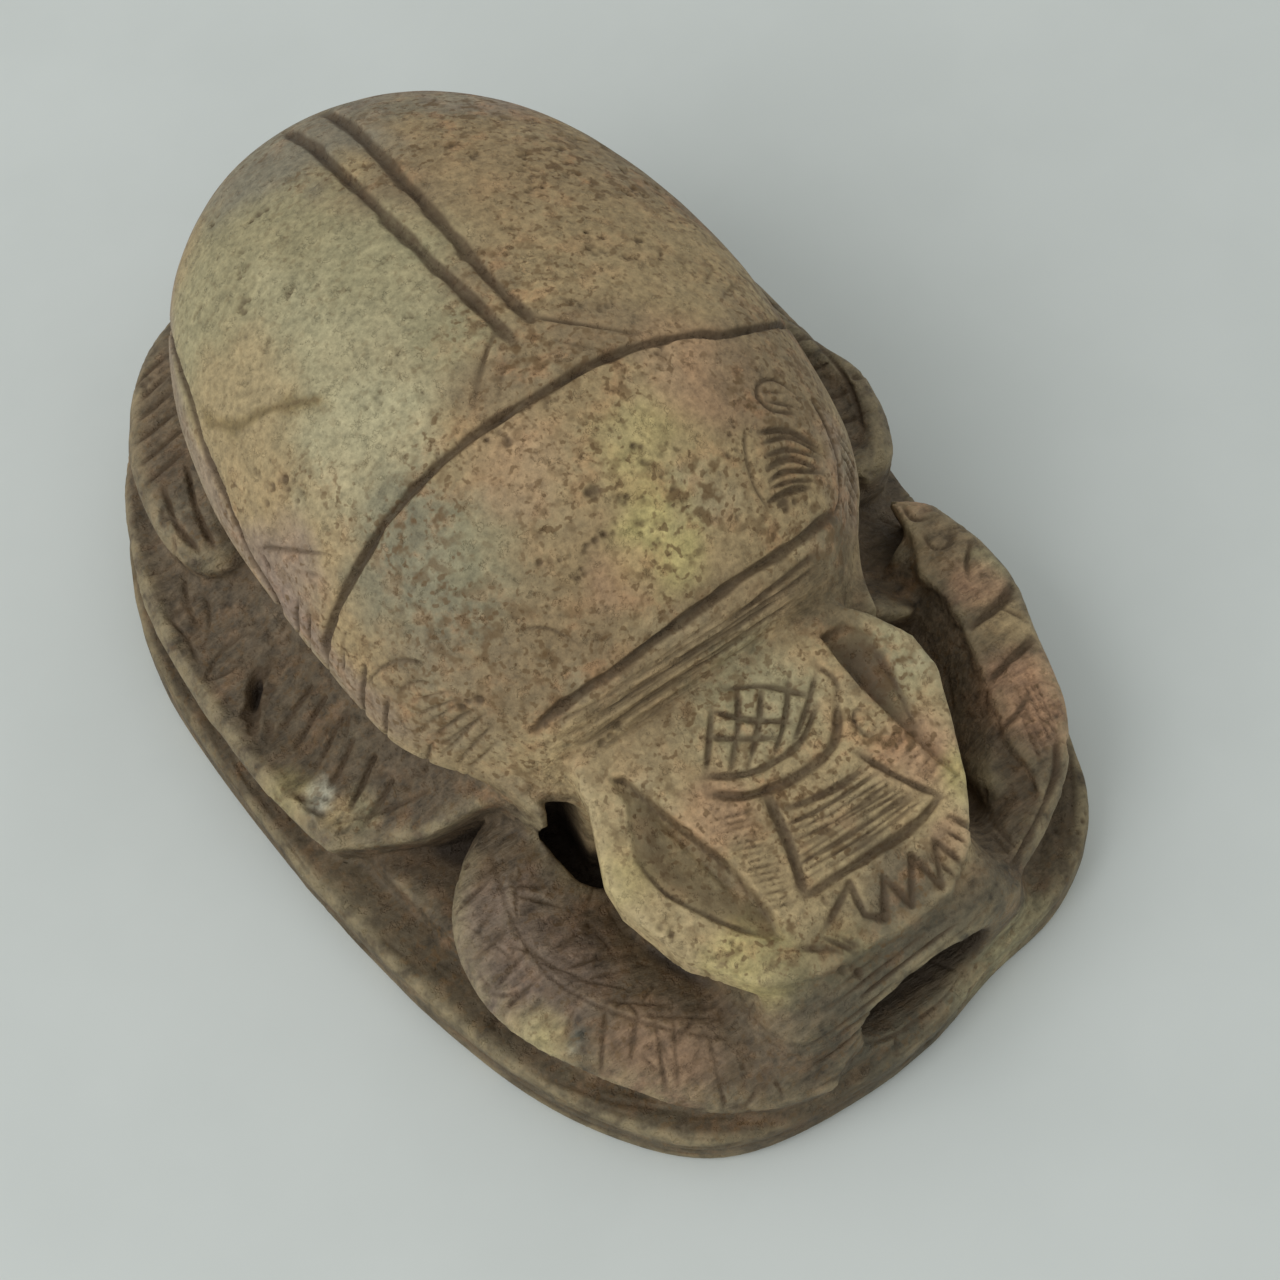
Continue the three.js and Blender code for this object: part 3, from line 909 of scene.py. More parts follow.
@dataclass(frozen=True)
class BackLines:
    """The lines on the back: wing cases, thorax, margins, and small hatched motifs at the shoulders."""

    wing_width: float = 1.05
    wing_depth: float = 0.42
    part_width: float = 0.72
    part_depth: float = 0.5
    margin: tuple[Point, ...] = (
        (-9.4, 25.0), (-11.3, 21.6), (-12.4, 18.4), (-13.1, 15.8), (-13.9, 13.0), (-14.4, 10.2),
        (-14.85, 7.4), (-14.95, 4.6), (-14.8, 1.8))

    def main_lines(self) -> list[Stroke]:
        """The deep lines between the wing cases and across behind the thorax.

        Returns:
            The strokes.
        """
        left = ((-0.35, 27.2), (-0.45, 22.6), (-0.6, 17.8), (-0.5, 14.0), (-0.35, 10.6), (-0.1, 7.4),
                (0.1, 4.6))
        right = ((2.0, 27.0), (1.85, 22.6), (1.6, 19.0), (1.4, 14.0), (1.3, 10.4), (1.35, 7.4), (1.6, 5.3))
        across = ((15.6, 2.6), (13.4, 1.2), (10.2, 0.5), (8.1, 0.9), (3.3, 1.35), (0.3, 1.3), (-3.0, 1.4),
                  (-6.4, 1.4), (-9.6, 1.15), (-11.8, 0.75), (-13.6, 0.55), (-14.6, 0.5))
        return [Stroke(left, self.wing_width, self.wing_depth),
                Stroke(right, self.wing_width, self.wing_depth),
                Stroke(across, self.part_width, self.part_depth),
                Stroke(((0.3, 6.0), (-1.6, 4.6), (-3.5, 2.7)), 0.5, 0.16),
                Stroke(((-0.6, 4.2), (-2.4, 2.1)), 0.4, 0.10),
                Stroke(((1.6, 5.4), (3.3, 3.8), (5.7, 1.7)), 0.5, 0.20),
                Stroke(((1.7, 3.6), (3.5, 1.7)), 0.4, 0.12)]

    def margins(self) -> list[Stroke]:
        """The line inside each wing case's edge, and the short lines at the shoulders.

        Returns:
            The strokes.
        """
        lines = [Stroke(self.margin, 0.85, 0.5),
                 Stroke(mirrored(self.margin, Back().middle_x), 0.8, 0.4),
                 Stroke(((-14.6, 6.6), (-13.4, 4.0), (-12.3, 2.1)), 0.45, 0.16),
                 Stroke(((-13.9, 3.6), (-13.2, 2.0)), 0.4, 0.12),
                 Stroke(Colouring().stain, 0.8, 0.07)]
        lines += hatching(((10.2, 6.6), (9.2, 5.4)), ((13.2, 4.0), (11.6, 3.0)), 4, 0.4, 0.12, seed=3)
        return lines

    def ridge(self) -> list[Stroke]:
        """The line behind the thorax's front edge, and the tool marks across its front face.

        Returns:
            The strokes.
        """
        edge = ((-8.6, -9.85), (-6.3, -10.0), (-3.8, -10.1), (-1.2, -10.0), (1.1, -9.9), (3.7, -9.7),
                (6.1, -9.5), (8.2, -9.15), (10.0, -8.7))
        lines = [Stroke(edge, 0.9, 0.46)]
        face = Back()
        for number in range(9):
            height = 17.1 - 0.33 * number
            y = face.front_y - face.lean * (face.front_z - height) - 0.05
            start = -8.2 + 2.1 * (number * 2 % 3)
            row = ((start, y, height - 0.3), (start + 6, y, height),
                   (start + 12.5 - number * 0.6, y, height + 0.1))
            lines.append(Stroke(row, 0.42, 0.12 + 0.05 * (number % 3)))
        lines.append(Stroke(((2.0, -10.75), (5.0, -10.5), (8.2, -10.0)), 0.6, 0.22))
        lines.append(Stroke(((-5.0, -10.6), (-2.0, -10.6), (1.5, -10.5)), 0.34, 0.1))
        return lines

    def motifs(self) -> list[Stroke]:
        """The arcs and hatching at the thorax's shoulders.

        Returns:
            The strokes.
        """
        lines = [Stroke(((-14.0, -2.6), (-13.3, -2.9), (-12.4, -3.6), (-11.4, -4.9)), 0.4, 0.16),
                 Stroke(((-13.3, -4.1), (-12.3, -4.7), (-11.6, -5.6)), 0.34, 0.12),
                 Stroke(((-7.2, -6.6), (-6.0, -7.3), (-5.0, -8.6)), 0.45, 0.16)]
        lines += hatching(((-12.9, -5.0), (-10.9, -6.5)), ((-12.2, -7.8), (-10.1, -8.7)), 8, 0.34, 0.14,
                          seed=5)
        loop = ((11.1, -4.1), (9.8, -3.8), (9.4, -3.1), (9.9, -2.4), (11.0, -2.3), (11.8, -3.2))
        lines.append(Stroke(loop, 0.45, 0.2))
        lines += hatching(((9.9, -2.9), (11.2, -3.2)), ((9.7, -3.5), (11.3, -3.9)), 2, 0.36, 0.18, seed=6)
        lines += hatching(((8.4, -4.7), (9.9, -4.9), (11.2, -5.7)), ((7.0, -7.6), (8.5, -7.4), (9.8, -7.6)),
                          7, 0.5, 0.3, stray=0.12, seed=7)
        lines += hatching(((13.2, -4.8), (14.3, -5.2)), ((11.9, -7.7), (12.8, -8.1)), 7, 0.36, 0.26, seed=8)
        lines += [Stroke(((12.6, -3.4), (12.5, -4.6), (12.2, -6.1), (11.3, -7.6), (10.4, -8.5)), 0.6, 0.36),
                  Stroke(((8.0, -4.0), (7.1, -5.2), (6.6, -6.6), (6.7, -7.8)), 0.42, 0.16),
                  Stroke(((14.8, -2.0), (14.6, -4.4), (13.6, -7.4)), 0.34, 0.12)]
        return lines

    def strokes(self) -> list[Stroke]:
        """Every line on the back."""
        return self.main_lines() + self.margins() + self.ridge() + self.motifs()


@dataclass(frozen=True)
class HeadLines:
    """What is cut into the head plate: sunk cheeks, a crosshatched patch, arcs, and a hatched panel."""

    left_edge: tuple[Point, ...] = (
        (-5.8, -13.4), (-4.8, -16.5), (-3.8, -19.5), (-3.4, -23.0), (-3.7, -24.2))
    left_rim: tuple[Point, ...] = (
        (-6.8, -12.9), (-6.8, -14.6), (-8.0, -17.1), (-7.7, -19.4), (-6.1, -22.0), (-4.5, -23.9))
    right_edge: tuple[Point, ...] = (
        (6.3, -12.6), (6.6, -15.8), (7.1, -18.3), (7.7, -21.0), (8.4, -22.8))
    right_rim: tuple[Point, ...] = (
        (7.9, -12.5), (9.0, -13.9), (8.9, -15.6), (8.8, -17.0), (8.4, -19.3), (8.6, -21.6))
    step_depth: float = 0.15
    wall_depth: float = 0.8
    run: float = 2.0
    plate_reach: float = 1.4
    wall_run: float = 0.35

    def sunk(self, points: np.ndarray, head: Head) -> np.ndarray:
        """How deep the two cheeks are sunk at each point: steep at the plate, running out to the rim.

        Args:
            points: The places, three numbers each.
            head: The head that the cheeks are sunk in.

        Returns:
            One depth for each point.
        """
        depth = np.zeros(len(points))
        on_plate = np.abs(points[:, 2] - head.top(points[:, 1])) < self.plate_reach
        plan = points[:, :2]
        for edge, rim in ((self.left_edge, self.left_rim), (self.right_edge, self.right_rim)):
            inside = outline_distance(plan, np.array(edge + rim[::-1]))
            from_rim = line_distance(plan, np.array(rim))
            sunk = self.step_depth + self.wall_depth * np.clip(from_rim / self.run, 0, 1) ** 0.8
            sunk = sunk * (1 - ramp(inside, -self.wall_run, 0.0))
            depth = np.where(on_plate, np.maximum(depth, sunk), depth)
        return depth

    def cheek_lines(self) -> list[Stroke]:
        """The lines inside each cheek's rim.

        Returns:
            The strokes.
        """
        return [Stroke(((-7.8, -17.2), (-7.4, -19.3), (-5.9, -21.8), (-4.6, -23.4)), 0.45, 0.2),
                Stroke(((-5.3, -16.4), (-4.9, -18.6), (-4.3, -20.9)), 0.55, 0.2),
                Stroke(((8.5, -14.2), (8.4, -16.4), (8.0, -18.8)), 0.4, 0.14)]

    def crosshatch(self) -> list[Stroke]:
        """The net of crossing strokes behind the arcs.

        Returns:
            The strokes.
        """
        down = (((-0.3, -12.9), (-1.4, -14.2), (-2.5, -15.5)), ((1.3, -12.8), (0.2, -14.4), (-1.4, -16.0)),
                ((2.4, -13.3), (1.2, -14.8), (-0.4, -16.2)), ((3.9, -13.6), (2.5, -15.2), (0.9, -16.5)),
                ((5.2, -14.1), (3.8, -15.3), (2.2, -16.4)))
        over = (((0.6, -12.4), (2.6, -13.4), (4.4, -15.0)), ((-0.5, -13.0), (0.9, -14.3), (2.7, -15.5)),
                ((-1.5, -13.9), (0.2, -15.0), (1.7, -15.8)))
        return [Stroke(line, 0.5, 0.28) for line in down + over]

    def arcs(self) -> list[Stroke]:
        """The two arcs in front of the net, and the small ring beside them.

        Returns:
            The strokes.
        """
        ring = tuple((5.8 + 0.45 * math.cos(t), -17.4 + 0.7 * math.sin(t)) for t in np.linspace(0.4, 5.8, 8))
        return [Stroke(((-2.7, -15.4), (-0.9, -16.4), (0.9, -16.7), (2.6, -16.5), (4.4, -15.4)), 0.6, 0.3),
                Stroke(((-2.9, -16.3), (-1.4, -17.3), (0.6, -17.8), (2.6, -17.8), (4.0, -17.4), (5.3, -15.8)),
                       0.75, 0.38),
                Stroke(((5.3, -15.8), (5.8, -14.9), (5.3, -13.6)), 0.55, 0.22),
                Stroke(ring, 0.45, 0.2)]

    def panel(self) -> list[Stroke]:
        """The hatched panel at the front of the plate, with its heavy border.

        Returns:
            The strokes.
        """
        lines = [Stroke(((-0.5, -17.9), (-0.9, -20.2), (-1.7, -22.8)), 0.8, 0.4),
                 Stroke(((-1.7, -22.9), (1.6, -22.9), (4.6, -22.9), (6.9, -22.4)), 0.75, 0.4),
                 Stroke(((0.0, -18.9), (2.2, -19.3), (4.3, -19.3)), 0.65, 0.34),
                 Stroke(((4.5, -18.3), (5.5, -20.2), (6.9, -22.4)), 0.6, 0.28)]
        lines += hatching(((-0.6, -19.6), (2.2, -19.9), (4.9, -19.9)),
                          ((-1.5, -22.2), (2.4, -22.3), (6.1, -22.0)), 8, 0.38, 0.26, stray=0.08, seed=11)
        lines += hatching(((-3.6, -17.4), (-1.3, -18.2)), ((-3.6, -22.4), (-2.0, -22.9)), 15, 0.3, 0.15,
                          stray=0.03, seed=12)
        lines += hatching(((6.0, -18.9), (7.2, -18.5)), ((7.2, -22.2), (8.4, -21.9)), 8, 0.34, 0.17,
                          stray=0.04, seed=13)
        return lines

    def front(self) -> list[Stroke]:
        """The notched zigzag along the plate's front edge.

        Returns:
            The strokes.
        """
        zigzag = ((-1.8, -24.7), (0.5, -23.5), (0.2, -25.2), (1.0, -25.8), (2.1, -24.1), (2.5, -26.0),
                  (3.9, -24.0), (4.3, -26.0), (5.3, -24.0), (5.9, -25.7))
        lines = [Stroke(zigzag, 0.6, 0.3, curved=False)]
        lines += hatching(((6.6, -23.3), (7.4, -24.4)), ((4.7, -24.6), (5.2, -26.1)), 4, 0.5, 0.28, seed=14)
        lines += hatching(((-3.4, -24.6), (-2.2, -25.8)), ((-1.6, -25.1), (-0.8, -26.5)), 4, 0.45, 0.22,
                          seed=15)
        return lines

    def strokes(self) -> list[Stroke]:
        """Every line on the head."""
        return self.cheek_lines() + self.crosshatch() + self.arcs() + self.panel() + self.front()


@dataclass(frozen=True)
class LegLines:
    """What is cut into the legs and the front: hatching, spines, claws, chips and rough tool marks."""

    def left_side(self) -> list[Stroke]:
        """The left hind and middle legs.

        Returns:
            The strokes.
        """
        lines = hatching(((-13.6, 23.6), (-11.2, 23.9)), ((-16.4, 17.6), (-13.0, 17.9)), 6, 0.45, 0.24,
                         seed=21)
        lines += [Stroke(((-14.0, 16.8), (-14.9, 14.2), (-15.2, 11.9)), 0.5, 0.34),
                  Stroke(((-15.6, 16.6), (-16.2, 14.2), (-16.0, 12.2)), 0.5, 0.32),
                  Stroke(((-12.8, 16.6), (-13.6, 14.2), (-14.2, 11.8)), 0.5, 0.3),
                  Stroke(((-16.6, 13.9), (-17.6, 11.6), (-18.0, 9.6)), 0.4, 0.2),
                  Stroke(((-18.9, 11.6), (-18.7, 9.8), (-18.9, 8.2)), 0.4, 0.2),
                  Stroke(((-17.9, 8.9), (-17.0, 10.2), (-16.6, 11.4)), 0.35, 0.18),
                  Stroke(((-19.3, 7.0), (-17.6, 7.9), (-16.0, 7.7)), 0.4, 0.2),
                  Stroke(((-19.3, 7.0), (-17.8, 6.6), (-16.4, 6.6)), 0.35, 0.18)]
        lines += hatching(((-19.0, 12.6), (-17.6, 12.2)), ((-19.3, 8.6), (-18.0, 7.9)), 6, 0.3, 0.14, seed=22)
        lines += hatching(((-17.5, 2.2), (-14.4, 3.0)), ((-16.6, -5.2), (-13.6, -3.6)), 6, 0.5, 0.36,
                          stray=0.15, seed=23)
        lines += [Stroke(((-18.3, 3.9), (-17.5, 4.8), (-16.8, 5.5)), 1.25, 1.15),
                  Stroke(((-18.6, 3.1), (-18.3, 3.9)), 0.9, 0.6),
                  Stroke(((-17.3, 4.6), (-16.6, 4.2)), 0.6, 0.45),
                  Stroke(((-17.8, 4.4), (-17.3, 3.9)), 0.7, 0.5),
                  Stroke(((-18.1, 2.2), (-17.7, 2.8)), 0.7, 0.4),
                  Stroke(((-16.9, 5.0), (-15.9, 5.5)), 0.8, 0.5),
                  Stroke(((-18.9, -1.2), (-18.2, -2.4)), 0.9, 0.3),
                  Stroke(((-18.6, -2.5), (-18.1, -3.3)), 0.6, 0.35),
                  Stroke(((-17.8, -2.4), (-17.3, -3.0)), 0.4, 0.25),
                  Stroke(((-17.6, -4.2), (-14.6, -5.6), (-12.6, -6.4)), 0.4, 0.2)]
        return lines

    def left_foreleg(self) -> list[Stroke]:
        """The left foreleg: a spine with strokes set across it on both sides.

        Returns:
            The strokes.
        """
        spine = ((-12.2, -10.0), (-13.4, -14.0), (-13.6, -17.6), (-12.3, -20.7), (-10.2, -23.4),
                 (-7.6, -25.6))
        lines = [Stroke(spine, 0.42, 0.14)]
        lines += hatching(((-13.2, -11.6), (-15.6, -12.0)), ((-13.6, -17.2), (-16.2, -17.8)), 5, 0.36, 0.18,
                          stray=0.2, seed=31)
        lines += hatching(((-12.9, -19.4), (-15.2, -21.4)), ((-8.4, -24.6), (-10.2, -27.2)), 6, 0.36, 0.14,
                          stray=0.3, seed=32)
        lines += hatching(((-12.6, -12.2), (-10.6, -13.4)), ((-12.6, -19.0), (-10.2, -19.0)), 6, 0.36, 0.18,
                          stray=0.25, seed=33)
        lines += hatching(((-11.6, -20.8), (-9.6, -20.2)), ((-7.2, -25.4), (-6.0, -24.6)), 6, 0.36, 0.16,
                          stray=0.25, seed=34)
        lines += hatching(((-15.4, -13.0), (-14.2, -16.0)), ((-11.0, -22.0), (-8.0, -24.0)), 6, 0.34, 0.14,
                          seed=35)
        return lines

    def right_side(self) -> list[Stroke]:
        """The right foreleg and middle leg.

        Returns:
            The strokes.
        """
        lines = [Stroke(((19.0, -13.2), (17.6, -13.7), (15.6, -14.0)), 0.8, 0.4),
                 Stroke(((18.0, -16.3), (16.6, -16.6), (14.4, -17.0)), 0.75, 0.38),
                 Stroke(((15.6, -18.9), (14.4, -19.4), (13.1, -19.6)), 0.6, 0.3),
                 Stroke(((18.4, -8.4), (17.7, -9.3), (16.8, -9.0), (16.9, -8.0)), 0.4, 0.2),
                 Stroke(((18.9, -9.7), (17.9, -10.6), (17.2, -11.6)), 0.45, 0.22),
                 Stroke(((17.2, -5.6), (17.0, -6.9), (17.8, -7.4)), 0.5, 0.25),
                 Stroke(((15.4, -21.6), (14.1, -23.2), (12.4, -24.3), (10.8, -25.2), (9.2, -25.9)),
                        0.65, 0.36)]
        lines += hatching(((16.6, -17.6), (15.4, -21.6)), ((14.6, -18.6), (13.8, -22.6)), 6, 0.26, 0.14,
                          stray=0.12, seed=42)
        lines += hatching(((19.6, 6.4), (17.4, 7.2)), ((18.6, -0.8), (16.4, 0.0)), 5, 0.4, 0.18, seed=44)
        lines.append(Stroke(((18.9, 4.6), (18.7, 1.4), (17.6, -1.6)), 0.5, 0.24))
        lines += hatching(((16.9, 20.0), (14.0, 19.4)), ((17.6, 14.0), (14.6, 13.6)), 6, 0.45, 0.22, seed=45)
        return lines

    def front(self) -> list[Stroke]:
        """Scratches that run across the front slope.

        Returns:
            The strokes.
        """
        lines = []
        slope = FrontSlope()
        for number in range(16):
            height = 9.3 - 0.34 * number
            y = float(np.interp(height, slope.levels, slope.fronts)) - 0.05
            start = -5.6 + 1.9 * (number * 5 % 4)
            row = ((start, y, height - 0.35), (start + 3.4, y, height), (start + 6.2, y, height + 0.3))
            lines.append(Stroke(row, 0.34, 0.1 + 0.05 * (number % 3)))
        return lines

    def strokes(self) -> list[Stroke]:
        """Every line on the legs and the front."""
        return self.left_side() + self.left_foreleg() + self.right_side() + self.front()


# ---------------------------------------------------------------------------------------------------------
# Colour
# ---------------------------------------------------------------------------------------------------------


def paint(red: int, green: int, blue: int, light: float = 0.74) -> Point:
    """A stone colour as it looks under the studio light, turned into the stone's own linear colour.

    Args:
        red: Red, from 0 to 255.
        green: Green, from 0 to 255.
        blue: Blue, from 0 to 255.
        light: How brightly the studio lights the stone.

    Returns:
        The linear colour.
    """
    out = []
    for part in (red, green, blue):
        value = part / 255
        linear = value / 12.92 if value <= 0.04045 else ((value + 0.055) / 1.055) ** 2.4
        out.append(min(linear / light, 1.0))
    return tuple(out)


class Tone(Enum):
    """The stone's colours, from pale worn skin to packed dirt, and one dark tone for painted shade."""

    PALE_GREEN = paint(157, 150, 119)
    OLIVE = paint(140, 132, 101)
    CREAM = paint(158, 139, 103)
    BUFF = paint(148, 128, 94)
    TAN = paint(138, 117, 86)
    BROWN = paint(124, 106, 80)
    UMBER = paint(112, 96, 74)
    MAUVE = paint(128, 110, 98)
    PINK = paint(158, 124, 96)
    YELLOW = paint(172, 158, 106)
    BLUE_GREY = paint(114, 110, 90)
    GREY = paint(112, 106, 92)
    WHITE = paint(176, 172, 152)
    TEAL = paint(58, 66, 62)
    # A dark tone for painted shade in recesses and channels, under overhangs, and on the side turned away
    # from the light.
    PAINTED_SHADE = paint(74, 62, 46)
    STAIN = paint(112, 96, 62)
    BARK = paint(88, 76, 60)
    EARTH = paint(78, 67, 50)
    ASH = paint(78, 72, 58)


def over(colour: np.ndarray, weight: np.ndarray, tone: Tone) -> np.ndarray:
    """A colour at each point, gone over into a tone by a weight at each point."""
    return colour * (1 - weight[:, None]) + weight[:, None] * np.array(tone.value)


@dataclass(frozen=True)
class Patch:
    """A place where the colour changes, with a soft ragged edge: mostly the stone's own colour, and in a few
    places painted shade.
    """

    centre: Point
    reach: float
    tone: Tone
    strength: float = 0.8

    def weight(self, points: np.ndarray, ragged: np.ndarray) -> np.ndarray:
        """How far each point takes the patch's colour."""
        away = np.linalg.norm(points - np.array(self.centre), axis=1) / self.reach
        return self.strength * (1 - ramp(away + 0.45 * ragged, 0.55, 1.35))


@dataclass(frozen=True)
class Colouring:
    """The stone's broad colours, part by part, and its named patches."""

    back: Tone = Tone.BUFF
    head: Tone = Tone.CREAM
    legs: Tone = Tone.BARK
    plinth: Tone = Tone.EARTH
    patches: tuple[Patch, ...] = (
        Patch((-7.5, 16.0, 21.5), 9.5, Tone.OLIVE, 0.9),
        Patch((-6.0, 10.0, 23.5), 6.6, Tone.PALE_GREEN, 0.6),
        Patch((-12.0, 12.0, 19.5), 4.5, Tone.BUFF, 0.7),
        Patch((-9.0, 4.5, 22.6), 4.0, Tone.PALE_GREEN, 0.6),
        Patch((7.5, 17.0, 21.0), 8.5, Tone.TAN, 0.7),
        Patch((6.5, 7.0, 23.6), 5.5, Tone.BUFF, 0.6),
        Patch((0.6, 17.0, 22.8), 2.6, Tone.UMBER, 0.55),
        Patch((0.6, 9.0, 24.4), 2.2, Tone.UMBER, 0.5),
        Patch((0.5, 3.2, 24.8), 2.4, Tone.UMBER, 0.45),
        Patch((0.0, 26.5, 18.0), 6.5, Tone.GREY, 0.8),
        Patch((6.6, 22.5, 19.0), 3.2, Tone.BLUE_GREY, 0.6),
        Patch((9.0, -2.6, 21.6), 2.8, Tone.TAN, 0.5),
        # The darkest patches on the dome's right flank in the next lines, at x from 13.5 to 15.8, are painted
        # shade on the side turned away from the light.
        Patch((15.8, 13.0, 14.5), 3.0, Tone.PAINTED_SHADE, 0.7),
        Patch((10.0, 25.0, 16.0), 6.0, Tone.MAUVE, 0.7),
        Patch((13.5, 14.0, 17.5), 4.5, Tone.BROWN, 0.7),
        Patch((14.2, 17.0, 15.5), 3.6, Tone.PAINTED_SHADE, 0.6),
        Patch((14.6, 9.0, 15.5), 4.0, Tone.UMBER, 0.9),
        Patch((14.6, 3.0, 15.5), 3.0, Tone.UMBER, 0.9),
        Patch((-2.4, 13.0, 23.4), 3.4, Tone.OLIVE, 0.8),
        Patch((-2.0, 7.0, 24.2), 2.2, Tone.OLIVE, 0.7),
        Patch((-10.5, 20.5, 18.0), 3.2, Tone.OLIVE, 0.6),
        Patch((-13.6, 4.0, 16.5), 3.2, Tone.MAUVE, 0.7),
        Patch((-13.0, -0.8, 17.0), 2.8, Tone.BUFF, 0.6),
        Patch((-9.0, -2.4, 21.0), 4.8, Tone.BLUE_GREY, 0.85),
        Patch((-6.3, -4.3, 21.6), 2.4, Tone.BLUE_GREY, 0.6),
        Patch((-11.5, -6.0, 17.0), 4.0, Tone.UMBER, 0.6),
        Patch((-6.5, -8.0, 18.5), 3.6, Tone.BROWN, 0.7),
        Patch((-6.0, -3.0, 21.5), 3.0, Tone.OLIVE, 0.5),
        Patch((-2.5, 3.0, 24.0), 2.2, Tone.UMBER, 0.6),
        Patch((4.2, 3.0, 24.2), 2.2, Tone.UMBER, 0.6),
        Patch((-4.0, -5.6, 21.4), 3.8, Tone.TAN, 0.6),
        Patch((2.4, -3.7, 23.2), 3.0, Tone.YELLOW, 0.55),
        Patch((0.9, -6.8, 21.0), 2.5, Tone.YELLOW, 0.95),
        Patch((7.4, -1.0, 22.6), 3.2, Tone.PINK, 0.6),
        Patch((-3.3, -0.9, 23.8), 2.6, Tone.PINK, 0.4),
        Patch((-1.6, -7.6, 20.6), 1.8, Tone.PINK, 0.5),
        Patch((4.5, -5.5, 21.5), 2.4, Tone.BUFF, 0.6),
        Patch((11.5, -2.0, 20.0), 4.6, Tone.BROWN, 0.7),
        Patch((12.5, -6.4, 15.5), 3.2, Tone.MAUVE, 0.6),
        Patch((-3.0, -11.0, 16.0), 4.5, Tone.BROWN, 0.5),
        Patch((3.0, -11.0, 16.0), 3.5, Tone.BROWN, 0.55),
        Patch((8.8, -10.6, 14.8), 3.4, Tone.EARTH, 0.7),
        Patch((1.5, -14.0, 14.0), 3.6, Tone.OLIVE, 0.7),
        Patch((-1.0, -19.0, 12.6), 4.0, Tone.TAN, 0.4),
        Patch((-3.0, -17.5, 13.0), 2.0, Tone.PINK, 0.6),
        Patch((7.4, -20.0, 12.3), 2.6, Tone.PINK, 0.7),
        Patch((3.0, -25.4, 10.9), 2.4, Tone.UMBER, 0.7),
        Patch((6.2, -24.4, 11.2), 1.3, Tone.PINK, 0.6),
        Patch((8.6, -22.2, 11.6), 1.5, Tone.YELLOW, 0.8),
        Patch((9.6, -16.0, 13.2), 2.6, Tone.OLIVE, 0.8),
        Patch((7.4, -15.6, 12.6), 1.7, Tone.UMBER, 0.9),
        Patch((-9.2, -17.2, 13.0), 1.8, Tone.YELLOW, 0.5),
        Patch((-6.0, -24.6, 11.2), 2.6, Tone.YELLOW, 0.75),
        Patch((-1.5, -26.4, 10.6), 1.8, Tone.YELLOW, 0.6),
        Patch((1.0, -28.4, 6.5), 7.0, Tone.ASH, 0.9),
        Patch((-15.6, -19.6, 6.4), 1.5, Tone.YELLOW, 0.5),
        Patch((-14.5, -21.2, 6.4), 0.35, Tone.WHITE, 0.7),
        Patch((-14.0, -20.9, 6.7), 0.45, Tone.TEAL, 0.8),
        Patch((-13.6, -16.0, 7.2), 4.0, Tone.MAUVE, 0.45),
        Patch((-17.0, 1.0, 7.2), 4.5, Tone.EARTH, 0.5),
        Patch((-16.4, -4.6, 6.4), 1.4, Tone.OLIVE, 0.6),
        Patch((6.0, -29.6, 2.5), 2.6, Tone.OLIVE, 0.6),
        Patch((8.8, -28.4, 2.6), 2.4, Tone.OLIVE, 0.6),
        # Dark patch low on the base's front left, below the left foreleg's edge: painted shadow.
        Patch((-8.0, -28.4, 2.0), 5.0, Tone.PAINTED_SHADE, 0.35),
        Patch((-11.4, -24.6, 6.6), 3.0, Tone.PINK, 0.35),
        Patch((-17.9, -2.5, 6.6), 0.8, Tone.WHITE, 0.75),
        Patch((-17.4, -3.8, 6.6), 0.9, Tone.CREAM, 0.8),
        Patch((-19.2, -1.2, 6.4), 1.4, Tone.YELLOW, 0.3),
        Patch((17.5, -6.2, 7.0), 0.9, Tone.PINK, 0.9),
        Patch((17.6, -9.4, 7.3), 2.2, Tone.BROWN, 0.8),
        Patch((18.6, -11.4, 7.2), 1.3, Tone.OLIVE, 0.7),
        Patch((17.4, -12.2, 7.3), 1.6, Tone.PINK, 0.7),
        Patch((17.2, -15.0, 7.3), 1.8, Tone.BUFF, 0.8),
        Patch((15.9, -19.0, 7.4), 3.2, Tone.PINK, 0.85),
        # Dark patches low in the recess and the channel beside the right foreleg, in this line and the next
        # two: painted shade.
        Patch((14.6, -9.0, 5.0), 3.0, Tone.PAINTED_SHADE, 0.6),
        Patch((11.8, -18.0, 4.6), 3.4, Tone.PAINTED_SHADE, 0.5),
        Patch((12.4, -22.0, 5.0), 2.6, Tone.PAINTED_SHADE, 0.5),
        Patch((-14.5, 22.0, 9.0), 4.0, Tone.UMBER, 0.4),
    )
    calm: Patch = Patch((-7.5, 13.0, 22.0), 10.0, Tone.PALE_GREEN, 0.8)
    stain: tuple[Point, ...] = (
        (-13.2, 13.6, 18.0), (-12.4, 11.6, 19.3), (-11.4, 10.9, 20.4), (-10.2, 9.9, 21.5), (-8.9, 8.6, 22.4))
    stain_strength: float = 0.8
    band_strength: float = 0.65
    cheek_shade: float = 0.42

    def speckling(self, points: np.ndarray, polish: np.ndarray, rough: Roughness) -> np.ndarray:
        """How thickly brown specks are strewn at each point, mostly where the stone is polished."""
        drift = (0.62 + 0.8 * rough.at(points + 9, 3.1)) * (0.35 + 0.65 * polish)
        return np.clip(drift - self.calm.weight(points, rough.at(points, 2.4)), 0.05, 1.0)

